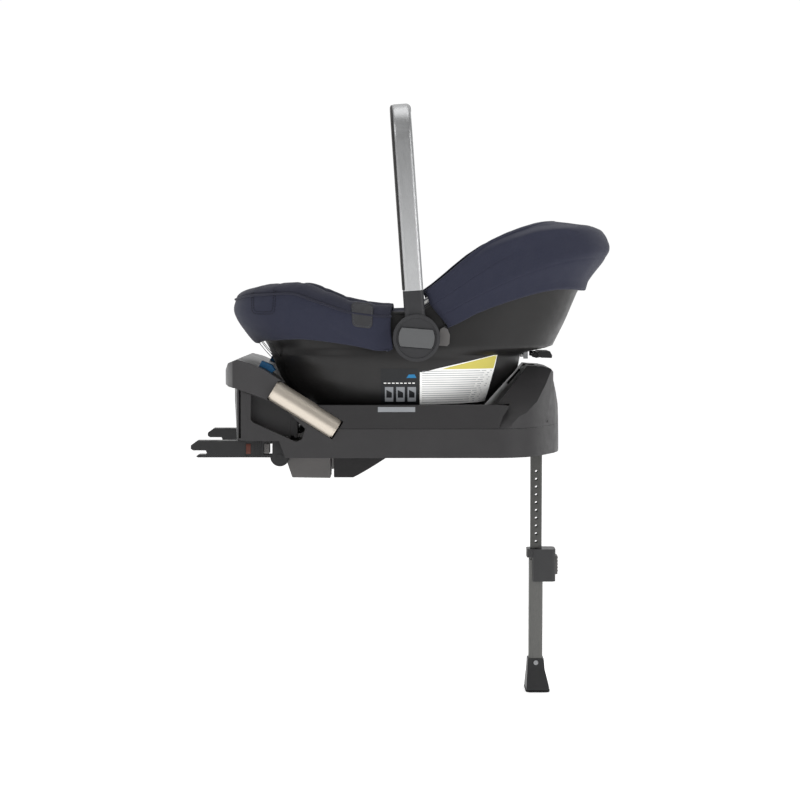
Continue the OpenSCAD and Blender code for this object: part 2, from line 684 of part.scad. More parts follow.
module canopy_rear() color(navy) {
    outer = [[7.6, 0, 0], [7.6, 30, 0], [7.6, -30, 1], [7.6, -8, 1]];
    inner = [[4.6, 0, 0], [4.6, 30, 0], [4.6, -30, 1], [4.6, -8, 1]];
    thick_sheet(wrap_rows(outer, -72, 72, 28, 0.9), wrap_rows(inner, -72, 72, 28, 0));
    // folded hood lying over the head end
    translate([0, 0, 400]) linear_extrude(4) intersection() {
        polygon([for (t = [-90:10:90]) shell_pt(396, t, 4)]);
        translate([238, -160]) square([120, 320]);
    }
}

bow_pivot = [46, 208];
bow_curve = concat(bezier([46, 212], [24, 262], [40, 294], 5), bezier([71, 326], [128, 372], [206, 396], 6),
    [[234, 400]]);
module bow_section(outer_w, top, r, t) {
    difference() {
        union() {
            translate([0, (top + 150) / 2]) rounded_rect(2 * outer_w, top - 150, r);
            translate([-outer_w, 140]) square([2 * outer_w, 60]);
        }
        translate([0, (top - t + 130) / 2]) rounded_rect(2 * (outer_w - t), top - t - 130, r - t);
        translate([-outer_w + t, 100]) square([2 * (outer_w - t), 100]);
    }
}

module canopy_bow() color("#303034") {
    n = len(bow_curve);
    difference() {
        union() {
            intersection() {
                along_y(-200, 200) polygon(concat([for (p = bow_curve) p],
                    [for (i = [n - 1:-1:0]) bow_curve[i] + [5, -8]]));
                along_x(0, 300) bow_section(189.6, 403, 95, 3);
            }
            both_sides() rod_y(bow_pivot[0], bow_pivot[1], 8, 186.6, 189.6);
        }
        both_sides() rod_y(bow_pivot[0], bow_pivot[1], 3.06, 180, 195);
    }
}

module canopy_front() color(navy) {
    n = len(bow_curve);
    intersection() {
        along_y(-200, 200) polygon(concat([for (i = [2:n - 1]) bow_curve[i] + [-4, 4]],
            [for (i = [n - 1:-1:8]) bow_curve[i] + [4, -9]], [[100, 335], [100, 252], [56, 230]]));
        along_x(0, 300) bow_section(193.4, 407, 98, 3);
    }
}

module infant_insert() color("#4a4c55") {
    a = [-20, 78, seat_z(10) + 22];
    b = [104, 78, seat_z(134) + 22];
    run = b - a;
    both_sides() translate(a) rotate([0, atan2(run[0], run[2]), 0])
        rotate_extrude() polygon(concat([for (t = [-90:10:0]) 13 * [cos(t), sin(t)]],
            [for (t = [0:10:90]) [13 * cos(t), norm(run) + 13 * sin(t)]]));
}

module head_pillow() color("#4a4c55") {
    translate([196, 0, 275]) rotate([0, -38, 0]) rotate([0, 0, -110])
        rotate_extrude(angle = 220) translate([70, 0]) circle(14);
}

strap_y = 30;
module shoulder_straps() color("#1d1d1f") {
    both_sides() along_y(strap_y - webbing_w / 2, strap_y + webbing_w / 2)
        seat_band(-22, 178, 5.8, 7.3, 12);
}

module shoulder_pads() color("#2c2d34") {
    both_sides() along_y(strap_y - 26, strap_y + 26) seat_band(104, 168, 8.2, 15.5, 6);
}

module crotch_strap() color("#1d1d1f") {
    along_y(-webbing_w / 2, webbing_w / 2) polygon([[-98, 94], [-96, 94], [-79.6, 103.5], [-80.4, 105.2]]);
}

buckle_at = [-56, 0, 106];
module buckle() color("#262628") {
    translate(buckle_at) difference() {
        translate([0, 0, -9]) linear_extrude(18) rounded_rect(46, 56, 10);
        span([-14, -14, -3.9], [15, 14, 12]);
        both_sides() span([2, 3, -4], [30, 25, 0.6]);
    }
}

module buckle_button() color("#b5282b") {
    translate(buckle_at) span([-13, -13, -0.5], [14, 13, 8.4]);
}

module buckle_tongues() color(steel) {
    both_sides() translate(buckle_at) span([17, 5, -3.2], [32, 23, -1]);
}

module chest_clip() color("#262628") {
    translate([70, 0, seat_z(70) + 12.8]) rotate([0, -34, 0]) difference() {
        span([-14, -52, -5], [14, 52, 5]);
        both_sides() span([-20, strap_y - webbing_w / 2 - 2, -6], [20, strap_y + webbing_w / 2 + 2, 1]);
    }
}

module harness_adjuster() color("#5a5b5e") {
    translate([-112, 0, 102.8]) difference() {
        span([-12, -22, -4], [8, 22, 4]);
        span([-6, -17, -5], [2, 17, 5]);
    }
}

module pull_strap() color("#1d1d1f") {
    along_y(-12, 12) polygon([[-124.6, 106.6], [-124.6, 104.8], [-150, 114.6], [-190, 144.6],
        [-190, 146.8], [-150, 116.8]]);
}

module lock_bars() color(steel) {
    rod_y(-186, 66, 3, -64, 64);
    rod_y(196, 170, 3, -46, 46);
    both_sides() span([192, 43, 166], [200, 46, 179]);
}

module hub_plates() color("#3b3b3d") {
    both_sides() difference() {
        union() {
            rod_y(0, pivot_z, 25, carrier_half_w + 0.4, 195.4);
            rod_y(0, pivot_z, 8, 195, 208);
        }
        for (a = [45:90:315]) rod_y(17 * cos(a), pivot_z + 17 * sin(a), 2.2, 192, 200);
    }
}

module belt_hooks() color("#66676b") {
    both_sides() {
        rod_y(bow_pivot[0], bow_pivot[1], 3, carrier_half_w + 0.3, 192);
        along_y(190.2, 194.2) polygon([[38, 194], [52, 193], [56, 197], [57, 212], [53, 222],
            [46, 225], [40, 222]]);
    }
}

lever_pin = [214, 173];
module release_lever() color("#9fa0a2") {
    along_y(-42, 42) polygon([[220, 179], [217, 170], [225, 167.5], [243, 167], [244, 171],
        [240, 179]]);
    both_sides() along_y(34, 38) polygon([[208, 177], [208, 169], [216, 167], [226, 169],
        [226, 178]]);
    rod_y(lever_pin[0], lever_pin[1], 2.5, -42, 42);
}

// ---------- handle ----------

corner_r = 58;
slope = 6;
arch_span = handle_y - corner_r + corner_r * cos(90 - slope);
arch_r = arch_span / sin(slope);
leg_h = handle_h - arch_r * (1 - cos(slope)) - corner_r * sin(90 - slope);
leg_start = 80;

module lean() {
    translate([0, 0, pivot_z]) rotate([0, -handle_lean, 0]) children();
}

// Sweep of the children (drawn as x across, y outward) round the whole bail.
// Neighbouring stretches overlap by a hair so that they fuse.
module bail(from_h) {
    both_sides() {
        translate([0, handle_y, from_h]) linear_extrude(leg_h - from_h + 0.02) children();
        translate([0, handle_y - corner_r, leg_h]) rotate([90, 0, 90])
            rotate_extrude(angle = 90 - slope + 0.05) translate([corner_r, 0]) mirror([1, 0]) rotate(90) children();
    }
    arch(slope) children();
}

module arch(half_angle) {
    translate([0, 0, handle_h - arch_r]) rotate([90, 0, 90]) rotate([0, 0, 90 - half_angle])
        rotate_extrude(angle = 2 * half_angle) translate([arch_r, 0]) mirror([1, 0]) rotate(90) children();
}

module tube_section(w, d, t) {
    difference() {
        rounded_rect(w, d, 7);
        rounded_rect(w - 2 * t, d - 2 * t, 7 - t);
    }
}

module handle_tube() color("#a7a8aa") {
    lean() bail(leg_start) tube_section(tube_w, tube_d, 1.8);
}

grip_half_y = 92;
module handle_grip() color("#2b2826") {
    lean() intersection() {
        arch(slope) difference() {
            rounded_rect(tube_w + 3.4, tube_d + 3.4, 8.4);
            rounded_rect(tube_w + 1.2, tube_d + 1.2, 7.6);
            translate([-tube_w / 2 - 6, -tube_d]) square([trim_wrap + 6.5, 2 * tube_d]);
        }
        span([-tube_w, -grip_half_y, 0], [tube_w, grip_half_y, handle_h + tube_w]);
    }
}

// Thin strip that hugs the tube's edge on the foot side.
trim_wrap = 2.2;
module handle_trim() color("#2b2826") {
    lean() bail(leg_start + 2) difference() {
        rounded_rect(tube_w + 2.4, tube_d + 2.4, 8.2);
        rounded_rect(tube_w + 0.1, tube_d + 0.1, 7.05);
        translate([-tube_w / 2 + trim_wrap, -tube_d]) square([2 * tube_w, 2 * tube_d]);
    }
}

module handle_hubs() color(hub_grey) {
    both_sides() lean() difference() {
        union() {
            rod_y(0, 0, 40, 196, 219);
            translate([0, handle_y, 30]) linear_extrude(leg_start - 30.3)
                rounded_rect(tube_w + 1, tube_d - 0.6, 7);
            translate([0, handle_y, leg_start - 1]) linear_extrude(14)
                rounded_rect(tube_w - 4.2, tube_d - 4.2, 5);
        }
        rod_y(0, 0, 34.4, 217.2, 225);
        rotate([0, handle_lean, 0]) hub_band(31.2, 16.6, 211, 225);
        rod_y(0, 0, 8.06, 190, 225);
    }
}

// The raised band across each hub that is pressed to turn the handle.
band_tilt = 4.5;
module hub_band(r, half_h, y0, y1) {
    rotate([0, band_tilt, 0]) intersection() {
        rod_y(0, 0, r, y0, y1);
        span([-r, y0 - 1, -half_h], [r, y1 + 1, half_h]);
    }
}

module hub_button() {
    translate([0, 0, pivot_z]) hub_band(30.6, 16, 216.4, 220.9);
}

module handle_button_right() color("#7b7c7e") hub_button();
module handle_button_left() color("#7b7c7e") mirror([0, 1, 0]) hub_button();

base_lower_shell();
base_upper_tray();
leg_tower();
rear_crossbar();
trim_sleeves();
belt_guides();
level_indicator();
keel_skids();
base_screws();
grip_pads();
latch_pivots();
leg_hinge_pin();
hook_pin();
carrier_latch();
recline_foot();
latch_arm_left();
latch_arm_right();
latch_jaw_left();
latch_jaw_right();
latch_button_left();
latch_button_right();
leg_knuckle();
leg_upper_tube();
leg_lower_tube();
leg_adjuster_housing();
leg_foot();
foot_sole();
foot_rivet();
leg_button();
leg_lock_pin();
leg_button_spring();
carrier_shell();
foam_liner();
seat_pad();
foot_cover();
canopy_rear();
infant_insert();
head_pillow();
shoulder_straps();
shoulder_pads();
crotch_strap();
buckle();
buckle_tongues();
harness_adjuster();
pull_strap();
lock_bars();
hub_plates();
belt_hooks();
chest_clip();
buckle_button();
release_lever();
handle_tube();
handle_grip();
handle_trim();
handle_hubs();
handle_button_left();
handle_button_right();
canopy_bow();
canopy_front();
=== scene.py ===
import json
import math

import bpy
import numpy as np
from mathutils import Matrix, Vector, noise


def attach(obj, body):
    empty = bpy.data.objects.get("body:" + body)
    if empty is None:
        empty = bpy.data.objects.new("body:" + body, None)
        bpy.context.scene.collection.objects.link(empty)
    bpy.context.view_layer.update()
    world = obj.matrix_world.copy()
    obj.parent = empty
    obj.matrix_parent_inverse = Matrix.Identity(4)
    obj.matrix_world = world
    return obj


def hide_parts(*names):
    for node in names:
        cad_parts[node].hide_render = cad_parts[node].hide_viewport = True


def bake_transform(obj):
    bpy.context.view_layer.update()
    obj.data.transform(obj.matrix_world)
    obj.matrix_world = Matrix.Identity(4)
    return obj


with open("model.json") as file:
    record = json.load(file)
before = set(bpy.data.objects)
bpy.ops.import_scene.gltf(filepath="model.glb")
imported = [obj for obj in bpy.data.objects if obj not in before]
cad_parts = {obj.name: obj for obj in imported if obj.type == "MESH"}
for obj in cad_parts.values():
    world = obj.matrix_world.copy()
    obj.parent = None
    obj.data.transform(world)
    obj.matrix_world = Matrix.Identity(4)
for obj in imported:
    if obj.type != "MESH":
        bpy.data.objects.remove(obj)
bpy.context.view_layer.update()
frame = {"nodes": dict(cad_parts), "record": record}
scene = bpy.context.scene
nodes = frame["nodes"]
MM = 0.001

# ---------------------------------------------------------------- camera

target = Vector((-0.028, 0, 0.0894))
elevation = math.radians(3.5)
camera = bpy.data.objects.new("camera", bpy.data.cameras.new("camera"))
scene.collection.objects.link(camera)
camera.location = target + 3.3 * Vector((0, -math.cos(elevation), math.sin(elevation)))
camera.rotation_euler = (target - camera.location).to_track_quat("-Z", "Y").to_euler()
camera.data.lens = 82.0
camera.data.sensor_width = 36.0
scene.camera = camera
scene.view_settings.view_transform = "Standard"

# ---------------------------------------------------------------- materials


def linear(hex_colour):
    rgb = [int(hex_colour[i : i + 2], 16) / 255 for i in (1, 3, 5)]
    return [c / 12.92 if c <= 0.04045 else ((c + 0.055) / 1.055) ** 2.4 for c in rgb]


class Shade:
    """A principled material with object-space detail added step by step."""

    def __init__(self, name, colour, rough, metal=0.0, coords="Object"):
        self.mat = bpy.data.materials.new(name)
        self.mat.use_nodes = True
        self.tree = self.mat.node_tree
        self.bsdf = self.tree.nodes["Principled BSDF"]
        self.colour = linear(colour)
        self.bsdf.inputs["Base Color"].default_value = (*self.colour, 1)
        self.bsdf.inputs["Roughness"].default_value = rough
        self.bsdf.inputs["Metallic"].default_value = metal
        self.mat.diffuse_color = (*self.colour, 1)
        self.coord = self.new("ShaderNodeTexCoord").outputs[coords]
        self.height = None

    def new(self, kind, **values):
        node = self.tree.nodes.new(kind)
        for key, value in values.items():
            if hasattr(node, key):
                setattr(node, key, value)
            else:
                node.inputs[key.replace("_", " ")].default_value = value
        return node

    def link(self, a, b):
        self.tree.links.new(a, b)

    def stretched(self, scale):
        mapping = self.new("ShaderNodeMapping")
        mapping.inputs["Scale"].default_value = scale
        self.link(self.coord, mapping.inputs["Vector"])
        return mapping.outputs["Vector"]

    def noise(self, scale, detail=3.0, stretch=None):
        node = self.new("ShaderNodeTexNoise", Scale=scale, Detail=detail)
        self.link(self.stretched(stretch) if stretch else self.coord, node.inputs["Vector"])
        return node.outputs[0]

    def wave(self, scale, direction, distortion=0.0):
        node = self.new("ShaderNodeTexWave", Scale=scale, Distortion=distortion)
        node.bands_direction = direction
        self.link(self.coord, node.inputs["Vector"])
        return node.outputs["Fac"]

    def math(self, op, a, b):
        node = self.new("ShaderNodeMath", operation=op)
        for k, v in enumerate((a, b)):
            if isinstance(v, (int, float)):
                node.inputs[k].default_value = v
            else:
                self.link(v, node.inputs[k])
        return node.outputs[0]

    def spread(self, source, low, high):
        node = self.new("ShaderNodeMapRange")
        self.link(source, node.inputs["Value"])
        node.inputs["From Min"].default_value = 0.3
        node.inputs["From Max"].default_value = 0.7
        node.inputs["To Min"].default_value = low
        node.inputs["To Max"].default_value = high
        return node.outputs["Result"]

    def mottle(self, source, low, high):
        """The colour runs from low to high times itself, led by source."""
        node = self.new("ShaderNodeMix", data_type="RGBA")
        self.link(self.spread(source, 0, 1), node.inputs["Factor"])
        for socket, factor in (("A", low), ("B", high)):
            for s in node.inputs:
                if s.name == socket and s.type == "RGBA":
                    s.default_value = (*[c * factor for c in self.colour], 1)
        out = [s for s in node.outputs if s.type == "RGBA"][0]
        self.link(out, self.bsdf.inputs["Base Color"])
        return self

    def paint_shade_with_height(self, low, high, left):
        """Painted shade: the colour darkens with height, from full at low to a share at high."""
        span = self.new("ShaderNodeMapRange", interpolation_type="SMOOTHSTEP")
        split = self.new("ShaderNodeSeparateXYZ")
        self.link(self.coord, split.inputs[0])
        self.link(split.outputs["Z"], span.inputs["Value"])
        for socket, value in (("From Min", low), ("From Max", high), ("To Min", 1.0), ("To Max", left)):
            span.inputs[socket].default_value = value
        scale = self.new("ShaderNodeVectorMath", operation="SCALE")
        self.link(self.bsdf.inputs["Base Color"].links[0].from_socket, scale.inputs[0])
        self.link(span.outputs["Result"], scale.inputs["Scale"])
        self.link(scale.outputs[0], self.bsdf.inputs["Base Color"])

    def rough(self, source, low, high):
        self.link(self.spread(source, low, high), self.bsdf.inputs["Roughness"])
        return self

    def bump(self, source, strength, distance):
        node = self.new("ShaderNodeBump", Strength=strength, Distance=distance)
        self.link(source, node.inputs["Height"])
        if self.height is not None:
            self.link(self.height, node.inputs["Normal"])
        self.height = node.outputs["Normal"]
        self.link(self.height, self.bsdf.inputs["Normal"])
        return self

    def put(self, **values):
        for key, value in values.items():
            self.bsdf.inputs[key.replace("_", " ")].default_value = value
        return self


def plastic(name, colour, rough, grain=0.10, mottle=0.05):
    m = Shade(name, colour, rough)
    m.put(Specular_IOR_Level=0.32)
    m.mottle(m.noise(22, 4), 1 - mottle, 1 + mottle)
    m.rough(m.noise(60, 5), rough - 0.05, rough + 0.07)
    m.bump(m.noise(1500, 2), grain, 0.00035)
    m.bump(m.noise(35, 2), 0.05, 0.0012)
    return m.mat


def metal(name, colour, rough, stretch, fade=None):
    """Brushed metal; fade is painted shade given as (low z, high z, share of the colour left at the high
    end).
    """
    m = Shade(name, colour, rough, 0.8)
    streaks = m.noise(420, 3, stretch)
    m.mottle(streaks, 0.9, 1.08)
    # fade paints shade onto the colour, darker with height.
    if fade:
        m.paint_shade_with_height(*fade)
    m.rough(m.noise(180, 4, stretch), rough - 0.06, rough + 0.08)
    m.bump(streaks, 0.06, 0.0002)
    return m.mat


def cloth(name, colour, pitch=0.0011, heather=0.10, rough=0.88, sheen=0.25):
    """Plain weave on surfaces whose UV is in metres."""
    m = Shade(name, colour, rough, 0, "UV")
    scale = 1 / (pitch * 20) * math.pi
    warp, weft = m.wave(scale, "X", 0.4), m.wave(scale, "Y", 0.4)
    m.mottle(m.noise(700, 4, (1, 0.35, 1)), 1 - heather, 1 + heather)
    m.rough(m.noise(40, 3), rough - 0.06, rough + 0.06)
    m.bump(m.math("MAXIMUM", warp, weft), 0.35, 0.0003)
    m.bump(m.noise(55, 4), 0.12, 0.0012)
    m.put(Sheen_Weight=sheen, Sheen_Roughness=0.5, Specular_IOR_Level=0.2)
    return m.mat


def solid_cloth(name, colour, heather=0.12, rough=0.9, sheen=0.25, scale=900):
    """Knit look in object space, for closed pads without a UV map."""
    m = Shade(name, colour, rough)
    cells = m.new("ShaderNodeTexVoronoi", Scale=scale)
    m.link(m.coord, cells.inputs["Vector"])
    m.mottle(m.noise(420, 5), 1 - heather, 1 + heather)
    m.rough(m.noise(40, 3), rough - 0.06, rough + 0.06)
    m.bump(cells.outputs["Distance"], 0.35, 0.0004)
    m.bump(m.noise(70, 4), 0.15, 0.0010)
    m.put(Sheen_Weight=sheen, Sheen_Roughness=0.5, Specular_IOR_Level=0.2)
    return m.mat


def leather(name, colour, rough):
    m = Shade(name, colour, rough)
    cells = m.new("ShaderNodeTexVoronoi", Scale=650)
    m.link(m.coord, cells.inputs["Vector"])
    m.mottle(m.noise(90, 4), 0.85, 1.15)
    m.rough(m.noise(160, 4), rough - 0.08, rough + 0.08)
    m.bump(cells.outputs["Distance"], 0.4, 0.0004)
    m.bump(m.noise(900, 3), 0.15, 0.0003)
    return m.mat


def foam_look(name, colour):
    m = Shade(name, colour, 0.8)
    cells = m.new("ShaderNodeTexVoronoi", Scale=260)
    m.link(m.coord, cells.inputs["Vector"])
    m.mottle(cells.outputs["Distance"], 0.88, 1.04)
    m.rough(m.noise(300, 3), 0.7, 0.9)
    m.bump(cells.outputs["Distance"], 0.5, 0.0012)
    return m.mat


def belt(name, colour):
    """Webbing with ribs along its length; UV in metres, X across."""
    m = Shade(name, colour, 0.62, 0, "UV")
    ribs, picks = m.wave(260, "X"), m.wave(150, "Y", 1.0)
    m.mottle(m.noise(500, 3, (1, 0.2, 1)), 0.8, 1.2)
    m.rough(m.noise(200, 3), 0.5, 0.72)
    m.bump(m.math("MAXIMUM", ribs, picks), 0.5, 0.0004)
    m.put(Sheen_Weight=0.15)
    return m.mat


# One look per material slot of the record: how it is made, its colour, and that maker's values.
LOOK_TABLE = {
    "base_plastic": (plastic, "#343334", 0.42, 0.16),
    "crossbar_plastic": (plastic, "#3c3b3c", 0.36, 0.08),
    "champagne_trim": (metal, "#cfc6b9", 0.36, (0.6, 8, 8)),
    "dark_plastic": (plastic, "#262627", 0.4),
    "grey_plastic": (plastic, "#615f5e", 0.46),
    "blue_plastic": (plastic, "#154a70", 0.36),
    "indicator": (plastic, "#b9bdb9", 0.25, 0.04),
    "screw_steel": (metal, "#8f9092", 0.32, (1, 1, 1)),
    "leg_steel": (metal, "#555553", 0.42, (6, 6, 0.5)),
    "leg_dark_steel": (metal, "#676765", 0.44, (6, 6, 0.5)),
    "sole_rubber": (plastic, "#161617", 0.78, 0.3),
    "shell_plastic": (plastic, "#1d1c1c", 0.40, 0.2),
    "foam": (foam_look, "#c4c4c1"),
    "pad_fabric": (cloth, "#2c2d39", 0.0014, 0.18, 0.88, 0.1),
    "navy_fabric": (cloth, "#2d2f3e", 0.0011, 0.07, 0.88, 0.1),
    "insert_fabric": (solid_cloth, "#34353f", 0.12, 0.9, 0.12),
    "webbing": (belt, "#141416"),
    "shell_hub_plastic": (plastic, "#262627", 0.42),
    "hub_plastic": (plastic, "#343436", 0.4, 0.14),
    "button_plastic": (plastic, "#5c5d5e", 0.38, 0.08),
    "red_plastic": (plastic, "#98181c", 0.34, 0.06),
    # The handle tube's last values paint shade that darkens its colour towards the top.
    "handle_aluminium": (metal, "#cbcccd", 0.40, (7, 7, 0.4), (0.30, 0.60, 0.52)),
    "leatherette": (leather, "#1d1b1a", 0.55),
}
LOOK = {name: make(name, *values) for name, (make, *values) in LOOK_TABLE.items()}
thread = plastic("thread", "#4c4e56", 0.7, 0.4)
dark_thread = plastic("dark_thread", "#101117", 0.7, 0.4)
paper = plastic("label_paper", "#fbfbf9", 0.5, 0.05, 0.02)
paper_yellow = plastic("label_yellow", "#cfc35e", 0.5, 0.05, 0.03)
paper_dark = plastic("label_dark", "#15171a", 0.4, 0.05, 0.03)
paper_grey = plastic("label_grey", "#8d9094", 0.5, 0.05, 0.03)
paper_line = plastic("label_line", "#a5a7aa", 0.5, 0.05, 0.03)
paper_blue = plastic("label_blue", "#1c74a6", 0.45, 0.05, 0.03)
patch_look = leather("patch_rubber", "#2b2b2e", 0.6)
outer_shade = LOOK["navy_fabric"]

# ---------------------------------------------------------------- CAD nodes


def geometry_group(name):
    """An empty geometry-node group with its input and output nodes."""
    g = bpy.data.node_groups.new(name, "GeometryNodeTree")
    for way in ("INPUT", "OUTPUT"):
        g.interface.new_socket("Geometry", in_out=way, socket_type="NodeSocketGeometry")
    return g, g.nodes.new("NodeGroupInput"), g.nodes.new("NodeGroupOutput")


def shading_group(angle):
    """Shades smooth below an edge angle in degrees and sharp above it."""
    g, start, end = geometry_group("shade_by_angle")
    edge_angle = g.nodes.new("GeometryNodeInputMeshEdgeAngle")
    flat = g.nodes.new("FunctionNodeCompare")
    flat.operation = "LESS_EQUAL"
    flat.inputs[1].default_value = math.radians(angle)
    faces, edges = (g.nodes.new("GeometryNodeSetShadeSmooth") for _ in range(2))
    faces.domain, edges.domain = "FACE", "EDGE"
    g.links.new(edge_angle.outputs[0], flat.inputs[0])
    g.links.new(start.outputs[0], faces.inputs[0])
    g.links.new(faces.outputs[0], edges.inputs[0])
    g.links.new(flat.outputs[0], edges.inputs["Shade Smooth"])
    g.links.new(edges.outputs[0], end.inputs[0])
    return g


def plain_normals_group():
    """Drops the normals that came with the imported mesh."""
    g, start, end = geometry_group("plain_normals")
    drop = g.nodes.new("GeometryNodeRemoveAttribute")
    drop.inputs["Name"].default_value = "custom_normal"
    g.links.new(start.outputs[0], drop.inputs[0])
    g.links.new(drop.outputs[0], end.inputs[0])
    return g


SHARP_ANGLE = 33  # degrees; a CAD edge that bends more gets a bevel and stays an edge
shade_by_angle = shading_group(SHARP_ANGLE)
plain_normals = plain_normals_group()

# Edge radius in mm of the nodes whose edges aren't the usual half millimetre.
EDGE = {
    "base_lower_shell": 2.2, "base_upper_tray": 1.6, "leg_tower": 4.0, "rear_crossbar": 3.0,
    "keel_skids": 2.0, "recline_foot": 2.5, "latch_arm_left": 1.4, "latch_arm_right": 1.4,
    "latch_button_left": 0.8, "latch_button_right": 0.8, "leg_adjuster_housing": 2.2,
    "leg_button": 1.5, "leg_foot": 2.6, "foot_sole": 1.0, "leg_knuckle": 1.4,
    "handle_hubs": 1.8, "handle_button_left": 0.8, "handle_button_right": 0.8,
    "handle_grip": 1.4, "handle_trim": 0.8, "belt_hooks": 1.2, "release_lever": 1.6,
    "belt_guides": 1.0, "carrier_latch": 1.2, "buckle": 3.0, "buckle_button": 1.6,
    "chest_clip": 1.8, "harness_adjuster": 1.6, "trim_sleeves": 0.5, "canopy_bow": 0.8,
}
# Nodes whose tone differs from the rest of their slot.
NODE_TABLE = {
    # The keel's darker tone is painted shade for where it sits on the underside.
    "keel_skids": ("keel_plastic_painted_shade", "#1f1e1f", 0.46, 0.2),
    "base_upper_tray": ("tray_plastic", "#2b2a2b", 0.42, 0.16),
    "leg_tower": ("tower_plastic", "#383738", 0.42, 0.16),
    "leg_adjuster_housing": ("housing_plastic", "#363637", 0.40, 0.14),
    "leg_foot": ("foot_plastic", "#2e2e2f", 0.44, 0.2),
}
NODE_LOOK = {node: plastic(*values) for node, values in NODE_TABLE.items()}
slot_of = {s["node"]: s["material_slot"] for s in frame["record"]["subparts"]}

for name, o in nodes.items():
    o.data.materials.clear()
    o.data.materials.append(NODE_LOOK.get(name, LOOK[slot_of[name]]))
    drop = o.modifiers.new("plain_normals", "NODES")
    drop.node_group = plain_normals
    weld = o.modifiers.new("weld", "WELD")
    weld.merge_threshold = 2e-5
    if not name.startswith("latch_arm"):
        flat = o.modifiers.new("flat", "DECIMATE")
        flat.decimate_type = "DISSOLVE"
        flat.angle_limit = math.radians(0.8)
    bevel = o.modifiers.new("edge", "BEVEL")
    bevel.width = EDGE.get(name, 0.5) * MM
    bevel.segments = 3
    bevel.limit_method = "ANGLE"
    bevel.angle_limit = math.radians(SHARP_ANGLE)
    bevel.miter_outer = "MITER_ARC"
    smooth = o.modifiers.new("shade", "NODES")
    smooth.node_group = shade_by_angle
    even = o.modifiers.new("even", "WEIGHTED_NORMAL")
    even.keep_sharp = True

# ---------------------------------------------------------------- mesh helpers


def add_mesh(name, verts, faces, mat, uv=None, smooth=True):
    """A mesh object from points in mm; uv is one (u, v) in metres per vertex."""
    mesh = bpy.data.meshes.new(name)
    points = [tuple(c * MM for c in v) for v in verts]
    mesh.from_pydata(points, [], [tuple(int(i) for i in f) for f in faces])
    mesh.validate()
    mesh.polygons.foreach_set("use_smooth", [smooth] * len(mesh.polygons))
    if uv is not None:
        layer = mesh.uv_layers.new(name="map")
        for loop in mesh.loops:
            layer.data[loop.index].uv = uv[loop.vertex_index]
    o = bpy.data.objects.new(name, mesh)
    scene.collection.objects.link(o)
    mesh.materials.append(mat)
    return o


def quads(rows, cols, wrap=False, offset=0):
    out = []
    for j in range(rows - 1):
        for i in range(cols if wrap else cols - 1):
            a, b = j * cols + i, j * cols + (i + 1) % cols
            out.append((offset + a, offset + b, offset + b + cols, offset + a + cols))
    return out


def run_length(g, axis):
    """Arc length from 0 along one axis of a grid of points."""
    step = np.linalg.norm(np.diff(g, axis=axis), axis=-1)
    return np.concatenate([np.zeros_like(step.take([0], axis)), np.cumsum(step, axis)], axis)


def metre_uv(grid):
    """UV in metres that follows arc length along the rows and columns of a grid in mm."""
    g = np.asarray(grid, float)
    return np.stack([run_length(g, 1) * MM, run_length(g, 0) * MM], 2).reshape(-1, 2)


def grid_normals(g, wrap=False):
    du = np.roll(g, -1, 1) - np.roll(g, 1, 1)
    if not wrap:
        du[:, 0], du[:, -1] = g[:, 1] - g[:, 0], g[:, -1] - g[:, -2]
    dv = np.gradient(g, axis=0)
    n = np.cross(du, dv)
    return n / np.maximum(np.linalg.norm(n, axis=2, keepdims=True), 1e-9)


def grid_mesh(name, grid, mat, wrap=False, flip=False):
    g = np.asarray(grid, float)
    faces = quads(g.shape[0], g.shape[1], wrap)
    if flip:
        faces = [f[::-1] for f in faces]
    return add_mesh(name, g.reshape(-1, 3), faces, mat, metre_uv(g))


def slab(name, grid, thickness, mat, wrap=False):
    """A closed sheet: grid is the shown side, and its thickness goes against the normals."""
    g = np.asarray(grid, float)
    back = g - grid_normals(g, wrap) * thickness
    rows, cols = g.shape[:2]
    uv = metre_uv(g)
    verts = np.concatenate([g.reshape(-1, 3), back.reshape(-1, 3)])
    faces = quads(rows, cols, wrap) + [f[::-1] for f in quads(rows, cols, wrap, rows * cols)]
    k = rows * cols
    last = cols if wrap else cols - 1
    for i in range(last):
        a, b = i, (i + 1) % cols
        faces.append((b, a, a + k, b + k))
        a, b = a + (rows - 1) * cols, b + (rows - 1) * cols
        faces.append((a, b, b + k, a + k))
    if not wrap:
        for j in range(rows - 1):
            a, b = j * cols, (j + 1) * cols
            faces.append((a, b, b + k, a + k))
            a, b = a + cols - 1, b + cols - 1
            faces.append((b, a, a + k, b + k))
    return add_mesh(name, verts, faces, mat, np.concatenate([uv, uv]))


def sweep(name, path, radius, mat, sides=12, squash=1.0):
    """A round or oval cord along a path in mm, with rounded ends."""
    p = np.asarray(path, float)
    tangent = np.gradient(p, axis=0)
    tangent /= np.linalg.norm(tangent, axis=1, keepdims=True)
    side = np.cross(tangent, [0, 0, 1.0])
    side /= np.maximum(np.linalg.norm(side, axis=1, keepdims=True), 1e-9)
    other = np.cross(side, tangent)
    turn = np.linspace(0, 2 * math.pi, sides, endpoint=False)
    rows = [
        p[i] + radius * (np.outer(np.cos(turn), side[i]) + squash * np.outer(np.sin(turn), other[i]))
        for i in range(len(p))
    ]
    first, final = rows[0], rows[-1]
    for shrink, push in ((0.7, 0.7), (0.25, 0.97)):
        rows.insert(0, p[0] + shrink * (first - p[0]) - tangent[0] * radius * push)
        rows.append(p[-1] + shrink * (final - p[-1]) + tangent[-1] * radius * push)
    g = np.array(rows)
    verts = g.reshape(-1, 3)
    faces = quads(len(g), sides, True)
    faces += [tuple(range(sides))[::-1], tuple(range((len(g) - 1) * sides, len(g) * sides))]
    return add_mesh(name, verts, faces, mat)


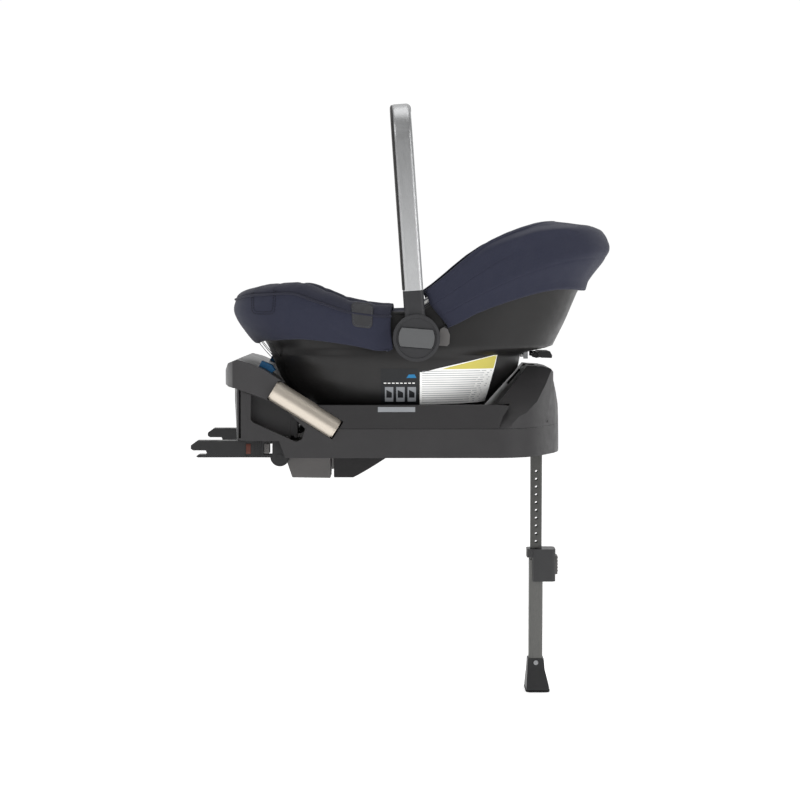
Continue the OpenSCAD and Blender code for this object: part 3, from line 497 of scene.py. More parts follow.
def stitch_row(name, path, normals, mat, length=3.2, gap=1.8, radius=0.42):
    """Separate thread stitches sunk a little into a surface along a path."""
    p, n = np.asarray(path, float), np.asarray(normals, float)
    if n.ndim == 1:
        n = np.tile(n, (len(p), 1))
    s = run_length(p, 0)

    def at(d, what):
        return np.array([np.interp(d, s, what[:, k]) for k in range(3)])

    verts, faces = [], []
    d = gap
    while d + length < s[-1]:
        a, b, up = at(d, p), at(d + length, p), at(d + length / 2, n)
        along = (b - a) / max(np.linalg.norm(b - a), 1e-6)
        up = up - along * up.dot(along)
        up /= max(np.linalg.norm(up), 1e-6)
        side = np.cross(along, up)
        base = len(verts)
        steps = ((0, 0.25, -0.25), (0.18, 0.8, 0.25), (0.5, 1.0, 0.45), (0.82, 0.8, 0.25), (1, 0.25, -0.25))
        for f, r, lift in steps:
            c = a + (b - a) * f + up * lift * radius
            for k in range(6):
                w = k * math.pi / 3
                verts.append(c + radius * r * (math.cos(w) * side + math.sin(w) * up))
        for j in range(len(steps) - 1):
            for k in range(6):
                q, r = base + j * 6 + k, base + j * 6 + (k + 1) % 6
                faces.append((q, r, r + 6, q + 6))
        faces.append(tuple(base + k for k in range(5, -1, -1)))
        faces.append(tuple(base + (len(steps) - 1) * 6 + k for k in range(6)))
        d += length + gap
    return add_mesh(name, verts, faces, mat)


def ribbon(name, path, width, thick, mat, across=(0, 1, 0)):
    """Flat webbing along a path in mm, with rounded edges."""
    p = np.asarray(path, float)
    t = np.gradient(p, axis=0)
    t /= np.linalg.norm(t, axis=1, keepdims=True)
    a = np.asarray(across, float)
    if a.ndim == 1:
        a = np.tile(a, (len(p), 1))
    a = a - t * (a * t).sum(1, keepdims=True)
    a /= np.linalg.norm(a, axis=1, keepdims=True)
    up = np.cross(a, t)
    h = thick / 2
    section = []
    for f in np.linspace(-1, 1, 9):
        section.append((f * (width / 2 - h), h * (1 + 0.10 * (f * f))))
    section.append((width / 2, 0))
    section += [(-x, -z) for x, z in section]
    rows = np.array([[p[i] + a[i] * x + up[i] * z for x, z in section] for i in range(len(p))])
    k = rows.shape[1]
    faces = quads(len(p), k, True) + [tuple(range(k))[::-1], tuple(range((len(p) - 1) * k, len(p) * k))]
    s = run_length(p, 0)
    uv = np.array([[(x + width / 2) * MM, d * MM] for d in s for x, z in section])
    return add_mesh(name, rows.reshape(-1, 3), faces, mat, uv)


def smooth_line(points, count, passes=2):
    """Points evenly along a polyline, with its corners rounded by averaging."""
    p = np.asarray(points, float)
    s = run_length(p, 0)
    t = np.linspace(0, s[-1], count)
    q = np.stack([np.interp(t, s, p[:, k]) for k in range(p.shape[1])], 1)
    for _ in range(passes):
        q[1:-1] = (q[:-2] + 2 * q[1:-1] + q[2:]) / 4
    return q


def finish_piece(o, body, slot_name=None, *replaced):
    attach(o, body)
    if replaced:
        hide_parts(*replaced)
    return o


# ---------------------------------------------------------------- carrier surfaces (mm)

SHELL_LEFT = [(45, -110), (60, -165), (80, -198), (107, -223), (132, -241), (164, -255), (184, -262),
              (210, -278), (230, -288), (250, -294), (290, -292)]
SHELL_RIGHT = [(45, 90), (150, 184), (180, 189), (184, 243), (234, 268), (286, 290), (320, 310),
               (360, 326), (400, 330)]
SHELL_HALF = [(45, 80), (60, 115), (90, 150), (130, 172), (165, 185), (190, 186), (400, 186)]
FOAM_LEFT = [(78, -115), (95, -160), (130, -203), (170, -232), (210, -250), (250, -266), (300, -268)]
FOAM_RIGHT = [(78, -30), (95, 18), (120, 62), (150, 104), (190, 158), (230, 208), (270, 250),
              (310, 284), (350, 304), (400, 310)]
FOAM_HALF = [(78, 62), (95, 92), (120, 122), (150, 142), (200, 158), (250, 164), (400, 166)]
RIM = [(-300, 276), (-265, 286), (-200, 290), (-165, 277), (-110, 258), (-50, 250), (10, 252),
       (31, 268), (71, 316), (125, 356), (160, 370), (206, 385), (250, 391), (330, 386)]
FOOT_HEM = [(-290, 192), (-268, 200), (-230, 203), (-199, 204.5), (-165, 201), (-114, 194),
            (-76, 186), (-50, 183)]
POWER = 2.6


def look(x, table, blur=5.0):
    """Table lookup with its corners rounded over +-blur."""
    xs, ys = zip(*table)
    x = np.asarray(x, float)
    return sum(np.interp(x + blur * o, xs, ys) for o in (-1, -0.5, 0, 0.5, 1)) / 5


def spow(v, p):
    return np.sign(v) * np.abs(v) ** p


def ring(z, t, d, left=SHELL_LEFT, right=SHELL_RIGHT, half=SHELL_HALF, blur=5.0):
    l, r, w = look(z, left, blur), look(z, right, blur), look(z, half, blur)
    x = (l + r) / 2 + ((r - l) / 2 - d) * spow(np.cos(t), 2 / POWER)
    y = (w - d) * spow(np.sin(t), 2 / POWER)
    return np.stack([x, y, z + 0 * x], -1)


def rim_height(t):
    return look(ring(np.full_like(t, 280.0), t, 0)[..., 0], RIM, 9)


def shell_y(x, z):
    """Half width of the shell at a point of its side view."""
    l, r, w = look(z, SHELL_LEFT), look(z, SHELL_RIGHT), look(z, SHELL_HALF)
    f = np.clip(np.abs((x - (l + r) / 2) / ((r - l) / 2)), 0, 1)
    return w * (1 - f**POWER) ** (1 / POWER)


def wobble(p, scale, amount, seed=0.0):
    """Smooth seeded noise at each point of a grid in mm."""
    flat = np.asarray(p).reshape(-1, 3)
    out = [noise.noise(Vector((q[0] / scale + seed, q[1] / scale - seed, q[2] / scale))) for q in flat]
    return amount * np.array(out).reshape(np.asarray(p).shape[:-1])


def even_angles(count):
    """Angles that space points evenly along the rim's superellipse."""
    t = np.linspace(0, 2 * math.pi, 2881)
    p = ring(np.full_like(t, 260.0), t, 0)[:, :2]
    s = run_length(p, 0)
    return np.interp(np.linspace(0, s[-1], count, endpoint=False), s, t)


# ---------------------------------------------------------------- carrier shell

n_ring = 220
turn = even_angles(n_ring)
top = rim_height(turn)
low_levels = np.concatenate([np.linspace(45, 175, 30), np.linspace(178, 186, 9), np.linspace(190, 230, 10)])
rows = []
for z in (45, 45):
    rows.append(ring(np.full(n_ring, 45.0), turn, 70 if not rows else 6))
for z in low_levels:
    rows.append(ring(np.full(n_ring, z), turn, 0))
    if z == 45:
        rows[-1][:, 2] += 0.6
for f in np.linspace(0, 1, 16)[1:]:
    rows.append(ring(230 + (top - 5 - 230) * f, turn, 0))
# The rolled lip, as (inward, up) from the rim.
LIP = ((-1.2, -4.2), (-1.7, -2.4), (-1.5, -0.6), (-0.4, 0.5), (1.2, 0.9), (2.8, 0.5), (3.8, -0.6), (4, -3))
for d, h in LIP:
    rows.append(ring(top + h, turn, d))
for f in np.linspace(1, 0, 10):
    rows.append(ring(230 + (top - 6 - 230) * f, turn, 4))
for z in low_levels[::-1][1::2]:
    p = ring(np.full(n_ring, z), turn, 4)
    p[:, 2] += 4 * np.clip((235 - z) / 50, 0, 1)
    rows.append(p)
grid = np.array(rows)
verts = list(grid.reshape(-1, 3)) + [(-10, 0, 45), (-10, 0, 49)]
faces = [f[::-1] for f in quads(len(rows), n_ring, True)]
last = (len(rows) - 1) * n_ring
for i in range(n_ring):
    faces.append((i, (i + 1) % n_ring, len(verts) - 2)[::-1])
    faces.append((last + (i + 1) % n_ring, last + i, len(verts) - 1)[::-1])
shell = add_mesh("carrier_shell_form", verts, [f[::-1] for f in faces], LOOK["shell_plastic"])
finish_piece(shell, "carrier", "shell_plastic", "carrier_shell")

# ---------------------------------------------------------------- foot cover


def foot_span(count):
    """Angles round the foot end, from one side of the hub to the other."""
    sel = np.linspace(math.radians(93.4), math.radians(266.6), 1401)
    p = ring(np.full_like(sel, 260.0), sel, 0)[:, :2]
    s = run_length(p, 0)
    return np.interp(np.linspace(0, s[-1], count), s, sel)


def cover_points(t, section, swell=1.6):
    """Points over the rim; each section row is (out, height, 0 above hem .. 1 above rim)."""
    x_low = ring(np.full_like(t, 230.0), t, 0)[:, 0]
    hem = look(x_low, FOOT_HEM, 8)
    top = rim_height(t)
    rows = []
    for out, height, share in section:
        z = hem + (top - hem) * share + height
        grow = 1 + swell * np.cos(t) ** 2 if out > 0 else 1.0
        p = ring(np.minimum(z, top), t, -out * grow)
        p[:, 2] = z
        rows.append(p)
    return np.array(rows)


def spline_rows(section, count):
    """A rounded version of a section table."""
    return smooth_line(section, count, 3)


t_foot = foot_span(240)
PANEL_SECTION = [(4.5, 3, 0), (6.2, -0.8, 0), (7.8, 0.5, 0), (8.8, 5, 0.02), (10.6, 2, 0.30),
                 (12.2, 0, 0.58), (12.4, -2, 0.80), (11.2, -7, 1.0)]
panel = spline_rows(PANEL_SECTION, 46)
g = cover_points(t_foot, panel)
ends = np.minimum(np.arange(240), np.arange(240)[::-1]) / 239
lift = 11 * np.exp(-ends * 60)
for j in range(len(g)):
    g[j, :, 2] += lift * max(0, 1 - j / 14)
n = grid_normals(g)
mask = np.sin(np.linspace(0, math.pi, len(g)))[:, None]
g = g + n * (mask * (wobble(g, 62, 1.5) + wobble(g * [1, 1, 0.35], 24, 0.7, 3.1)))[..., None]
foot_panel = slab("foot_panel", g, 2.2, outer_shade)
finish_piece(foot_panel, "carrier", "navy_fabric", "foot_cover")
foot_grid, foot_normals = g, n

seam = cover_points(t_foot, [(11.6, -7, 1.0)])[0]
piping = sweep("foot_piping", seam, 1.9, LOOK["pad_fabric"])
finish_piece(piping, "carrier", "pad_fabric")

ROLL_SECTION = [(10.4, -8.5, 1), (11.4, -3, 1), (8.5, 5.5, 1), (2, 11.5, 1), (-7, 13.5, 1),
                (-17, 9.5, 1), (-24, -2, 1), (-27, -18, 1), (-29, -34, 1)]
roll = spline_rows(ROLL_SECTION, 40)
g = cover_points(t_foot, roll)
n = grid_normals(g)
s_pos = run_length(g[12], 0)
pucker = (0.5 + 0.5 * np.cos(s_pos / 46 * 2 * math.pi)) ** 6
g = g - n * (pucker[None, :] * 1.6 * np.sin(np.linspace(0, math.pi, len(g)))[:, None] ** 2)[..., None]
g = g + n * wobble(g, 30, 1.3, 5.0)[..., None]
pad_roll = slab("pad_roll", g, 2.0, LOOK["pad_fabric"])
finish_piece(pad_roll, "carrier", "pad_fabric")

# ---------------------------------------------------------------- seat pad


def foam_ring(z, t, d):
    return ring(z, t, d, FOAM_LEFT, FOAM_RIGHT, FOAM_HALF, 9.0)


rows = []
for z in np.concatenate([np.linspace(79, 100, 8), np.linspace(104, 232, 44)]):
    p = foam_ring(np.full(n_ring, z), turn, 12)
    p[:, 2] += 12 * np.clip((235 - z) / 50, 0, 1)
    rows.append(p)
for f in np.linspace(0, 1, 26)[1:]:
    rows.append(foam_ring(232 + (top - 4 - 232) * f, turn, 12))
for d, h in ((11.2, -1.5), (8.5, 0.6), (5, 1.0), (1.8, -0.6), (1.0, -4), (1.0, -12)):
    rows.append(foam_ring(top + h - 1, turn, d))
g = np.array(rows)
n = -grid_normals(g, True)
along = run_length(g, 0)
cross_seam = np.minimum(np.abs(((along - 20) % 58) - 29), 29) / 29
side_seam = np.abs(np.abs(g[..., 1]) - 62) / 26
puff = 3.4 * np.clip(1 - cross_seam**6, 0, 1) * np.clip(side_seam, 0, 1) ** 0.4
fade = np.clip(np.minimum(np.arange(len(g)) / 6, (len(g) - 8 - np.arange(len(g))) / 8), 0, 1)[:, None]
g = g + n * (fade * (puff - 2.4 + wobble(g, 26, 1.2, 8.0)))[..., None]
verts = list(g.reshape(-1, 3)) + [g[0].mean(0)]
faces = quads(len(g), n_ring, True) + [((i + 1) % n_ring, i, len(verts) - 1) for i in range(n_ring)]
uv = np.concatenate([metre_uv(g), [[0, 0]]])
pad = add_mesh("seat_pad_cover", verts, faces, LOOK["pad_fabric"], uv)
finish_piece(pad, "carrier", "pad_fabric", "seat_pad")

# Bound edge of the cover between the pad and the shell's lip, over the foam.
rows = []
for f in np.linspace(0, 1, 14):
    p = (1 - f) * foam_ring(top, turn, 3.0) + f * ring(top, turn, 3.8)
    p[:, 2] = top - 1.6 + 3.4 * math.sin(math.pi * f) ** 0.7
    rows.append(p)
rim_binding = slab("rim_binding", np.array(rows), 1.6, LOOK["pad_fabric"], wrap=True)
if rim_binding.data.polygons[300].normal.z < 0:
    rim_binding.data.flip_normals()
finish_piece(rim_binding, "carrier", "pad_fabric")

# ---------------------------------------------------------------- canopy (hood over the head end)

FRONT_EDGE = [(15, 286), (33, 299), (44, 308), (62, 323), (71, 331), (98, 353), (125, 371), (152, 383.5),
              (180, 394), (206, 402), (222, 405.5), (236, 407)]
BACK_LINE = [(236, 407), (247, 408), (278, 405.5), (314, 399.5), (331, 393.5), (340, 382), (345, 368),
             (344.5, 359), (331, 337), (315, 316), (307, 304), (303, 289)]
HEAD_HEM = [(54, 226), (74, 235), (100, 249), (125, 259), (160, 271), (194, 281), (219, 287), (245, 291),
            (275, 291), (303, 289)]
LEFT_LINE = [(15, 286), (24, 262), (54, 226)]
front, back = smooth_line(FRONT_EDGE, 240, 10), smooth_line(BACK_LINE, 240, 14)
hem_line, left_line = smooth_line(HEAD_HEM, 240, 6), smooth_line(LEFT_LINE, 240, 30)


def on(line, f):
    f = np.asarray(f, float)
    k = np.linspace(0, 1, len(line))
    return np.stack([np.interp(f, k, line[:, 0]), np.interp(f, k, line[:, 1])], -1)


def hood_point(s, u, r):
    """Side-view place by a patch between four edge lines, and the half width there."""
    s_, u_ = s[..., None], u[..., None]
    p = (1 - u_) * on(front, s) + u_ * on(hem_line, s) + (1 - s_) * on(left_line, u) + s_ * on(back, u)
    p = p - ((1 - s_) * (1 - u_) * front[0] + (1 - s_) * u_ * hem_line[0]
             + s_ * (1 - u_) * front[-1] + s_ * u_ * hem_line[-1])
    x, z = p[..., 0], p[..., 1]
    arch = 192.0 * np.clip(1 - r**2.9, 0, 1) ** (1 / 2.9)
    mid = (look(z, SHELL_LEFT) + look(z, SHELL_RIGHT)) / 2
    reach = np.maximum(on(back, u)[..., 0] - mid, 1)
    round_back = np.clip(1 - np.clip((x - mid) / reach, 0, 1) ** 2.6, 0, 1) ** (1 / 2.6)
    wrap = (look(z, SHELL_HALF) + 5.6) * round_back
    b = np.clip((u - 0.15) / 0.7, 0, 1)
    b = b * b * (3 - 2 * b)
    y = (1 - b) * arch + b * wrap
    return np.stack([x, y, z], -1)


def hood_grid(u_values, count):
    """Rows run from the front edge to the hem; columns go over the hood from -y to +y."""
    rows = []
    for u in u_values:
        r0 = 0.23 * (1 - u) + 0.07 * u
        theta0 = math.asin(r0 ** (2.9 / 2))
        theta = theta0 + (math.pi / 2 - theta0) * (1 - (1 - np.linspace(0, 1, count)) ** 1.3)
        r = np.sin(theta) ** (2 / 2.9)
        s = np.clip((r - r0) / (1 - r0), 0, 1)
        right = hood_point(s, np.full(count, float(u)), r)
        left = right * [1, -1, 1]
        rows.append(np.concatenate([left, right[::-1][1:]]))
    return np.array(rows)


u_hood = np.concatenate([[0], np.linspace(0.012, 0.97, 78), [0.985, 1.0]])
g = hood_grid(u_hood, 120)
n = grid_normals(g)
if n[40, 60, 1] > 0:
    n = -n
rise = np.sin(np.clip(u_hood, 0, 1) * math.pi)[:, None]
over = np.abs(np.linspace(-1, 1, g.shape[1]))[None, :]
tension = 1.6 * np.sin(u_hood * 2 * math.pi * 3.2 + 0.6)[:, None] * rise
tension = tension * np.clip(1.15 - over, 0, 1) * np.clip(over * 2.2, 0, 1)
SEAMS = (0.36, 0.68)  # places of the two sewn seams between the front edge and the hem
groove = sum(np.exp(-(((u_hood - u) / 0.008) ** 2)) for u in SEAMS)[:, None]
g = g + n * (rise * (wobble(g, 75, 2.4, 1.7) + wobble(g, 28, 0.8, 4.2)) + tension - 0.7 * groove)[..., None]
# Where the shell's rim would show through, the cloth is stretched out over it.
rim_z = look(g[..., 0], RIM, 9)
need = shell_y(g[..., 0], np.minimum(g[..., 2], rim_z)) + 3.4
width = np.abs(g[..., 1])
near_rim = np.clip((rim_z + 12 - g[..., 2]) / 12, 0, 1) * np.clip((318 - g[..., 0]) / 50, 0, 1)
near_rim = near_rim * near_rim * (3 - 2 * near_rim)
g[..., 1] += np.sign(g[..., 1]) * near_rim * (need - width + np.hypot(width - need, 1.5)) / 2
hood_n = n
hood = slab("canopy_hood", g, 1.8, outer_shade)
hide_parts("canopy_rear", "canopy_front")
hood_form = g

# The doubled strip along the hood's front edge, with its row of stitches.
strip_u = np.concatenate([[0.0], np.linspace(0.004, 0.058, 8), [0.062]])
g = hood_grid(strip_u, 120)
n = grid_normals(g)
if n[4, 60, 1] > 0:
    n = -n
end_row = len(strip_u) - 1
profile = np.interp(np.arange(end_row + 1), [0, 1, end_row - 1, end_row], [0.2, 1.5, 1.5, -0.6])
strip = slab("canopy_strip", g + n * profile[:, None, None], 1.2, outer_shade)
line_g, line_n = g[-3] + n[-3] * 1.6, n[-3]
strip_thread = stitch_row("canopy_strip_stitches", line_g, line_n, dark_thread)
edge_g = hood_grid([0.0], 120)[0]
edge_cord = sweep("canopy_edge_cord", edge_g, 1.5, outer_shade)

# Panel seams that fan over the hood.
seam_pieces = []
for k, u in enumerate(SEAMS):
    i = int(np.argmin(np.abs(u_hood - u))) - 2
    name = f"canopy_seam_stitches_{k + 1}"
    at_seam = hood_form[i] + hood_n[i] * 0.1
    seam_pieces.append(stitch_row(name, at_seam, hood_n[i], dark_thread, radius=0.35))

# Hem at the foot of the hood, rolled under, and its stitches.
i_bow = int(np.argmin(np.abs(u_hood - 0.045)))
bow_line = hood_form[i_bow] - hood_n[i_bow] * 4.5
side_down = [[[46 + 8 * f, y, 208 + 42 * f] for f in (0.0, 0.3, 0.6)] for y in (-188.2, 188.2)]
if bow_line[0, 1] > 0:
    side_down = side_down[::-1]
bow_line = smooth_line(np.vstack([side_down[0], bow_line, side_down[1][::-1]]), 150, 4)
bow_form = sweep("canopy_bow_form", bow_line, 4.2, LOOK["dark_plastic"], squash=0.45)
finish_piece(bow_form, "canopy", "dark_plastic", "canopy_bow")
BOSS = ((0.01, 1.4), (7, 1.4), (8, 0.5), (8, -0.5), (7, -1.4), (0.01, -1.4))  # (radius, out)
round_boss = np.linspace(0, 2 * math.pi, 40, endpoint=False)
for y, tag in ((-188.2, "right"), (188.2, "left")):
    disc = [(46 + q * math.cos(w), y + h, 208 + q * math.sin(w)) for q, h in BOSS for w in round_boss]
    boss = add_mesh(f"canopy_bow_boss_{tag}", disc, quads(6, 40, True), LOOK["dark_plastic"])
    finish_piece(boss, "canopy", "dark_plastic")

hem_g, hem_n = hood_form[-1], hood_n[-1]
hem_roll = sweep("canopy_hem", hem_g - hem_n * 0.6, 2.0, outer_shade)
finish_piece(hem_roll, "carrier", "navy_fabric")
hem_thread = stitch_row("canopy_hem_stitches", hood_form[-6] + hood_n[-6] * 0.2, hood_n[-6], dark_thread)
finish_piece(hem_thread, "carrier")

# ---------------------------------------------------------------- foot cover details

u_line = foot_grid[7] + foot_normals[7] * 0.2
foot_hem_thread = stitch_row("foot_hem_stitches", u_line, foot_normals[7], dark_thread)
finish_piece(foot_hem_thread, "carrier")


def on_panel(x, z, side, out=0.6):
    """The point of the foot panel that the side view shows at x, z, and its normal."""
    half = foot_grid.shape[1] // 2
    part = foot_grid[:, half:] if side * foot_grid[20, -20, 1] > 0 else foot_grid[:, :half]
    norm = foot_normals[:, half:] if side * foot_grid[20, -20, 1] > 0 else foot_normals[:, :half]
    d = (part[..., 0] - x) ** 2 + (part[..., 2] - z) ** 2
    flat = np.argsort(d.ravel())[:4]
    w = 1 / (d.ravel()[flat] + 0.5)
    w /= w.sum()
    p = (part.reshape(-1, 3)[flat] * w[:, None]).sum(0)
    m = (norm.reshape(-1, 3)[flat] * w[:, None]).sum(0)
    m /= np.linalg.norm(m)
    if m[1] * side < 0:
        m = -m
    return np.array([x, p[1], z]) + m * out, m


def panel_path(points, side, count, out=0.6, passes=6):
    line = smooth_line(points, count, passes)
    pairs = [on_panel(x, z, side, out) for x, z in line]
    return np.array([a for a, _ in pairs]), np.array([b for _, b in pairs])


PATCH_MID = (-264, 275)
U_PATCH = [(-285, 286), (-285, 252), (-280, 247), (-248, 247), (-243, 252), (-241, 292)]
TAB = [(-111, 262), (-107, 268), (-79, 266), (-73, 260), (-75, 228), (-79, 223), (-104, 226), (-109, 231)]


def patch_outline(inset):
    """The U-shaped patch's stitch line, drawn in by about inset mm below its open top."""
    cx, cz = PATCH_MID
    keep_x, keep_z = 1 - inset / 24, 1 - inset / 30
    return [(cx + (x - cx) * keep_x, cz + (z - cz) * keep_z if z < 280 else z) for x, z in U_PATCH]


for side, tag in ((-1, "right"), (1, "left")):
    for k, inset in enumerate((0, 4)):
        p, m = panel_path(patch_outline(inset), side, 90, 0.3)
        name = f"foot_patch_stitches_{tag}_{k + 1}"
        finish_piece(stitch_row(name, p, m, dark_thread, 3.4, 1.2, 0.55), "carrier")
    ring_pts = smooth_line(TAB + TAB[:1], 72, 2)[:-1]
    centre = ring_pts.mean(0)
    layers = []
    for f, out in ((1.0, 0.2), (0.985, 1.0), (0.94, 1.5), (0.86, 1.5), (0.80, 1.2), (0.5, 1.3), (0.02, 1.3)):
        layers.append([on_panel(*(centre + (q - centre) * f), side, out)[0] for q in ring_pts])
    g = np.array(layers)
    tab = grid_mesh(f"foot_tab_{tag}", g, patch_look, wrap=True, flip=side < 0)
    finish_piece(tab, "carrier", "leatherette")
    loop = np.vstack([ring_pts, ring_pts[:1]])
    pairs = [on_panel(*(centre + (q - centre) * 0.86), side, 1.6) for q in loop]
    p, m = (np.array(v) for v in zip(*pairs))
    finish_piece(stitch_row(f"foot_tab_stitches_{tag}", p, m, thread, 2.6, 1.6, 0.45), "carrier")

# thin elastic tapes that pull the cover's hem down to the shell
for k, degrees in enumerate((-28, -18, -8, 8, 18, 28)):
    t = np.array([math.pi + math.radians(degrees)])
    top_end = cover_points(t, [(5.0, 3, 0)])[0, 0]
    low_end = ring(np.array([top_end[2] - 30]), t, -0.8)[0]
    path = smooth_line([top_end, low_end], 16, 0)
    path[:, 2] -= 1.5 * np.sin(np.linspace(0, math.pi, 16))
    tape = ribbon(f"cover_tape_{k + 1}", path, 5.0, 0.9, LOOK["webbing"])
    finish_piece(tape, "carrier", "webbing")

# ---------------------------------------------------------------- harness

SEAT_LINE = [(-102, 92), (-42, 90), (8, 107), (50, 132), (92, 162), (146, 202), (196, 242), (238, 282),
             (272, 322), (292, 362)]


def seat_path(x0, x1, gap, y0, y1, count):
    x = np.linspace(x0, x1, count)
    z = look(x, SEAT_LINE, 14) + gap
    y = y0 + (y1 - y0) * np.clip((x - x0) / max(x1 - x0, 1), 0, 1)
    return np.stack([x, y, z], 1)


HIP_LINE = [(-26, 22, 112), (-24, 52, 112), (-22, 82, 118), (-20, 104, 128), (-18, 116, 136)]
for side, tag in ((-1, "right"), (1, "left")):
    path = seat_path(-24, 186, 5.6, side * 22, side * 30, 70)
    near = np.clip((path[:, 0] + 24) / 60, 0, 1)
    path[:, 1] = side * (16 + 14 * near)
    path[:, 2] += 7.5 * np.exp(-((path[:, 0] + 18) / 26) ** 2)
    tail = [[x, side * 30, path[-1, 2] - down] for x, down in ((190, 1.5), (193, 6), (194, 12))]
    strap = ribbon(f"shoulder_strap_{tag}", np.vstack([path, tail]), 34, 1.7, LOOK["webbing"])
    finish_piece(strap, "carrier", "webbing", *(["shoulder_straps"] if side < 0 else []))
    hip = smooth_line([(x, side * y, z) for x, y, z in HIP_LINE], 34, 3)
    hip_strap = ribbon(f"hip_strap_{tag}", hip, 34, 1.7, LOOK["webbing"], across=(0.94, 0, 0.34))
    finish_piece(hip_strap, "carrier", "webbing")
    # slot in the pad that the shoulder strap comes out of
    slot_path = [(192, side * 12, look(192, SEAT_LINE) + 4), (192, side * 48, look(192, SEAT_LINE) + 5.5)]
    slot = sweep(f"strap_slot_{tag}", smooth_line(slot_path, 20, 0), 4.2, patch_look, squash=0.7)
    finish_piece(slot, "carrier")
crotch = smooth_line([(-100, 0, 95), (-93, 0, 99.5), (-82, 0, 104.5), (-74, 0, 107)], 24, 2)
crotch = ribbon("crotch_webbing", crotch, 34, 1.7, LOOK["webbing"])
finish_piece(crotch, "carrier", "webbing", "crotch_strap")
PULL_LINE = [(-118, 0, 104), (-128, 0, 106.5), (-146, 0, 114), (-168, 0, 128), (-186, 0, 142),
             (-196, 0, 148)]
pull = smooth_line(PULL_LINE, 44, 4)
pull_strap = ribbon("adjuster_webbing", pull, 24, 1.6, LOOK["webbing"])
finish_piece(pull_strap, "carrier", "webbing", "pull_strap")
for k, d in enumerate((0.80, 0.93)):
    i = int(d * 43)
    row = np.array([[pull[i, 0], y, pull[i, 2] + 1.1] for y in np.linspace(-9.5, 9.5, 12)])
    up = np.array([-0.5, 0, 0.85])
    finish_piece(stitch_row(f"adjuster_stitches_{k + 1}", row, up, thread, 2.4, 1.0, 0.4), "carrier")

# ---------------------------------------------------------------- stuffed pieces, blown up as cloth


def blow_up(name, mesh_points, faces, voxel, pressure, cap, mat, shrink=0.0, frames=20):
    """A closed form in mm becomes a stuffed piece: remesh, cloth with pressure, limited swell."""
    o = add_mesh(name, mesh_points, faces, mat)
    remesh = o.modifiers.new("voxels", "REMESH")
    remesh.mode = "VOXEL"
    remesh.voxel_size = voxel * MM
    bpy.context.view_layer.objects.active = o
    for other in bpy.context.selected_objects:
        other.select_set(False)
    o.select_set(True)
    bpy.ops.object.modifier_apply(modifier="voxels")
    rest = np.array([v.co for v in o.data.vertices])
    sim = o.modifiers.new("stuffing", "CLOTH")
    sim.settings.quality = 6
    sim.settings.mass = 0.2
    sim.settings.tension_stiffness = 12
    sim.settings.compression_stiffness = 12
    sim.settings.bending_stiffness = 0.6
    sim.settings.use_pressure = True
    sim.settings.uniform_pressure_force = pressure
    sim.settings.shrink_min = shrink
    sim.settings.effector_weights.gravity = 0.0
    sim.point_cache.frame_start = 1
    sim.point_cache.frame_end = frames
    for f in range(1, frames + 1):
        scene.frame_set(f)
    bpy.ops.object.modifier_apply(modifier="stuffing")
    now = np.array([v.co for v in o.data.vertices])
    if now.shape == rest.shape:
        move = now - rest
        size = np.linalg.norm(move, axis=1, keepdims=True)
        move *= np.minimum(1, cap * MM / np.maximum(size, 1e-9))
        for v, c in zip(o.data.vertices, rest + move):
            v.co = c
    scene.frame_set(1)
    relax = o.modifiers.new("relax", "SMOOTH")
    relax.iterations = 4
    bpy.ops.object.modifier_apply(modifier="relax")
    finer = o.modifiers.new("finer", "SUBSURF")
    finer.levels = finer.render_levels = 1
    bpy.ops.object.modifier_apply(modifier="finer")
    o.data.polygons.foreach_set("use_smooth", [True] * len(o.data.polygons))
    return o


def tube_form(centres, radii, sides=18):
    """A closed tube through points with a radius pair (across, up) at each."""
    c, r = np.asarray(centres, float), np.asarray(radii, float)
    t = np.gradient(c, axis=0)
    t /= np.linalg.norm(t, axis=1, keepdims=True)
    side = np.cross(t, [0, 0, 1.0])
    weak = np.linalg.norm(side, axis=1) < 0.1
    side[weak] = [0, 1, 0]
    side /= np.linalg.norm(side, axis=1, keepdims=True)
    up = np.cross(side, t)
    w = np.linspace(0, 2 * math.pi, sides, endpoint=False)
    cos, sin = np.cos(w), np.sin(w)
    rows = [c[i] + r[i, 0] * np.outer(cos, side[i]) + r[i, 1] * np.outer(sin, up[i]) for i in range(len(c))]
    verts = np.concatenate(rows)
    k = (len(c) - 1) * sides
    faces = quads(len(c), sides, True) + [tuple(range(sides))[::-1], tuple(range(k, k + sides))]
    return verts, faces


def lobe(n, big, power=2.2):
    f = np.linspace(-1, 1, n)
    return big * np.clip(1 - np.abs(f) ** power, 0.02, 1) ** 0.5


# head pillow: a horseshoe bolster lying on the upper seat
w = np.radians(np.linspace(-112, 112, 41))
lean_x, lean_z = math.cos(math.radians(38)), math.sin(math.radians(38))
px = 62 * np.cos(w) - 6
centres = np.stack([188 + px * lean_x, 74 * np.sin(w), 261 + px * lean_z], 1)
v, f = tube_form(centres, np.stack([lobe(41, 17, 6), lobe(41, 13, 6)], 1))
pillow = blow_up("head_bolster", v, f, 5.0, 3.0, 6.0, LOOK["insert_fabric"])
finish_piece(pillow, "carrier", "insert_fabric", "head_pillow")

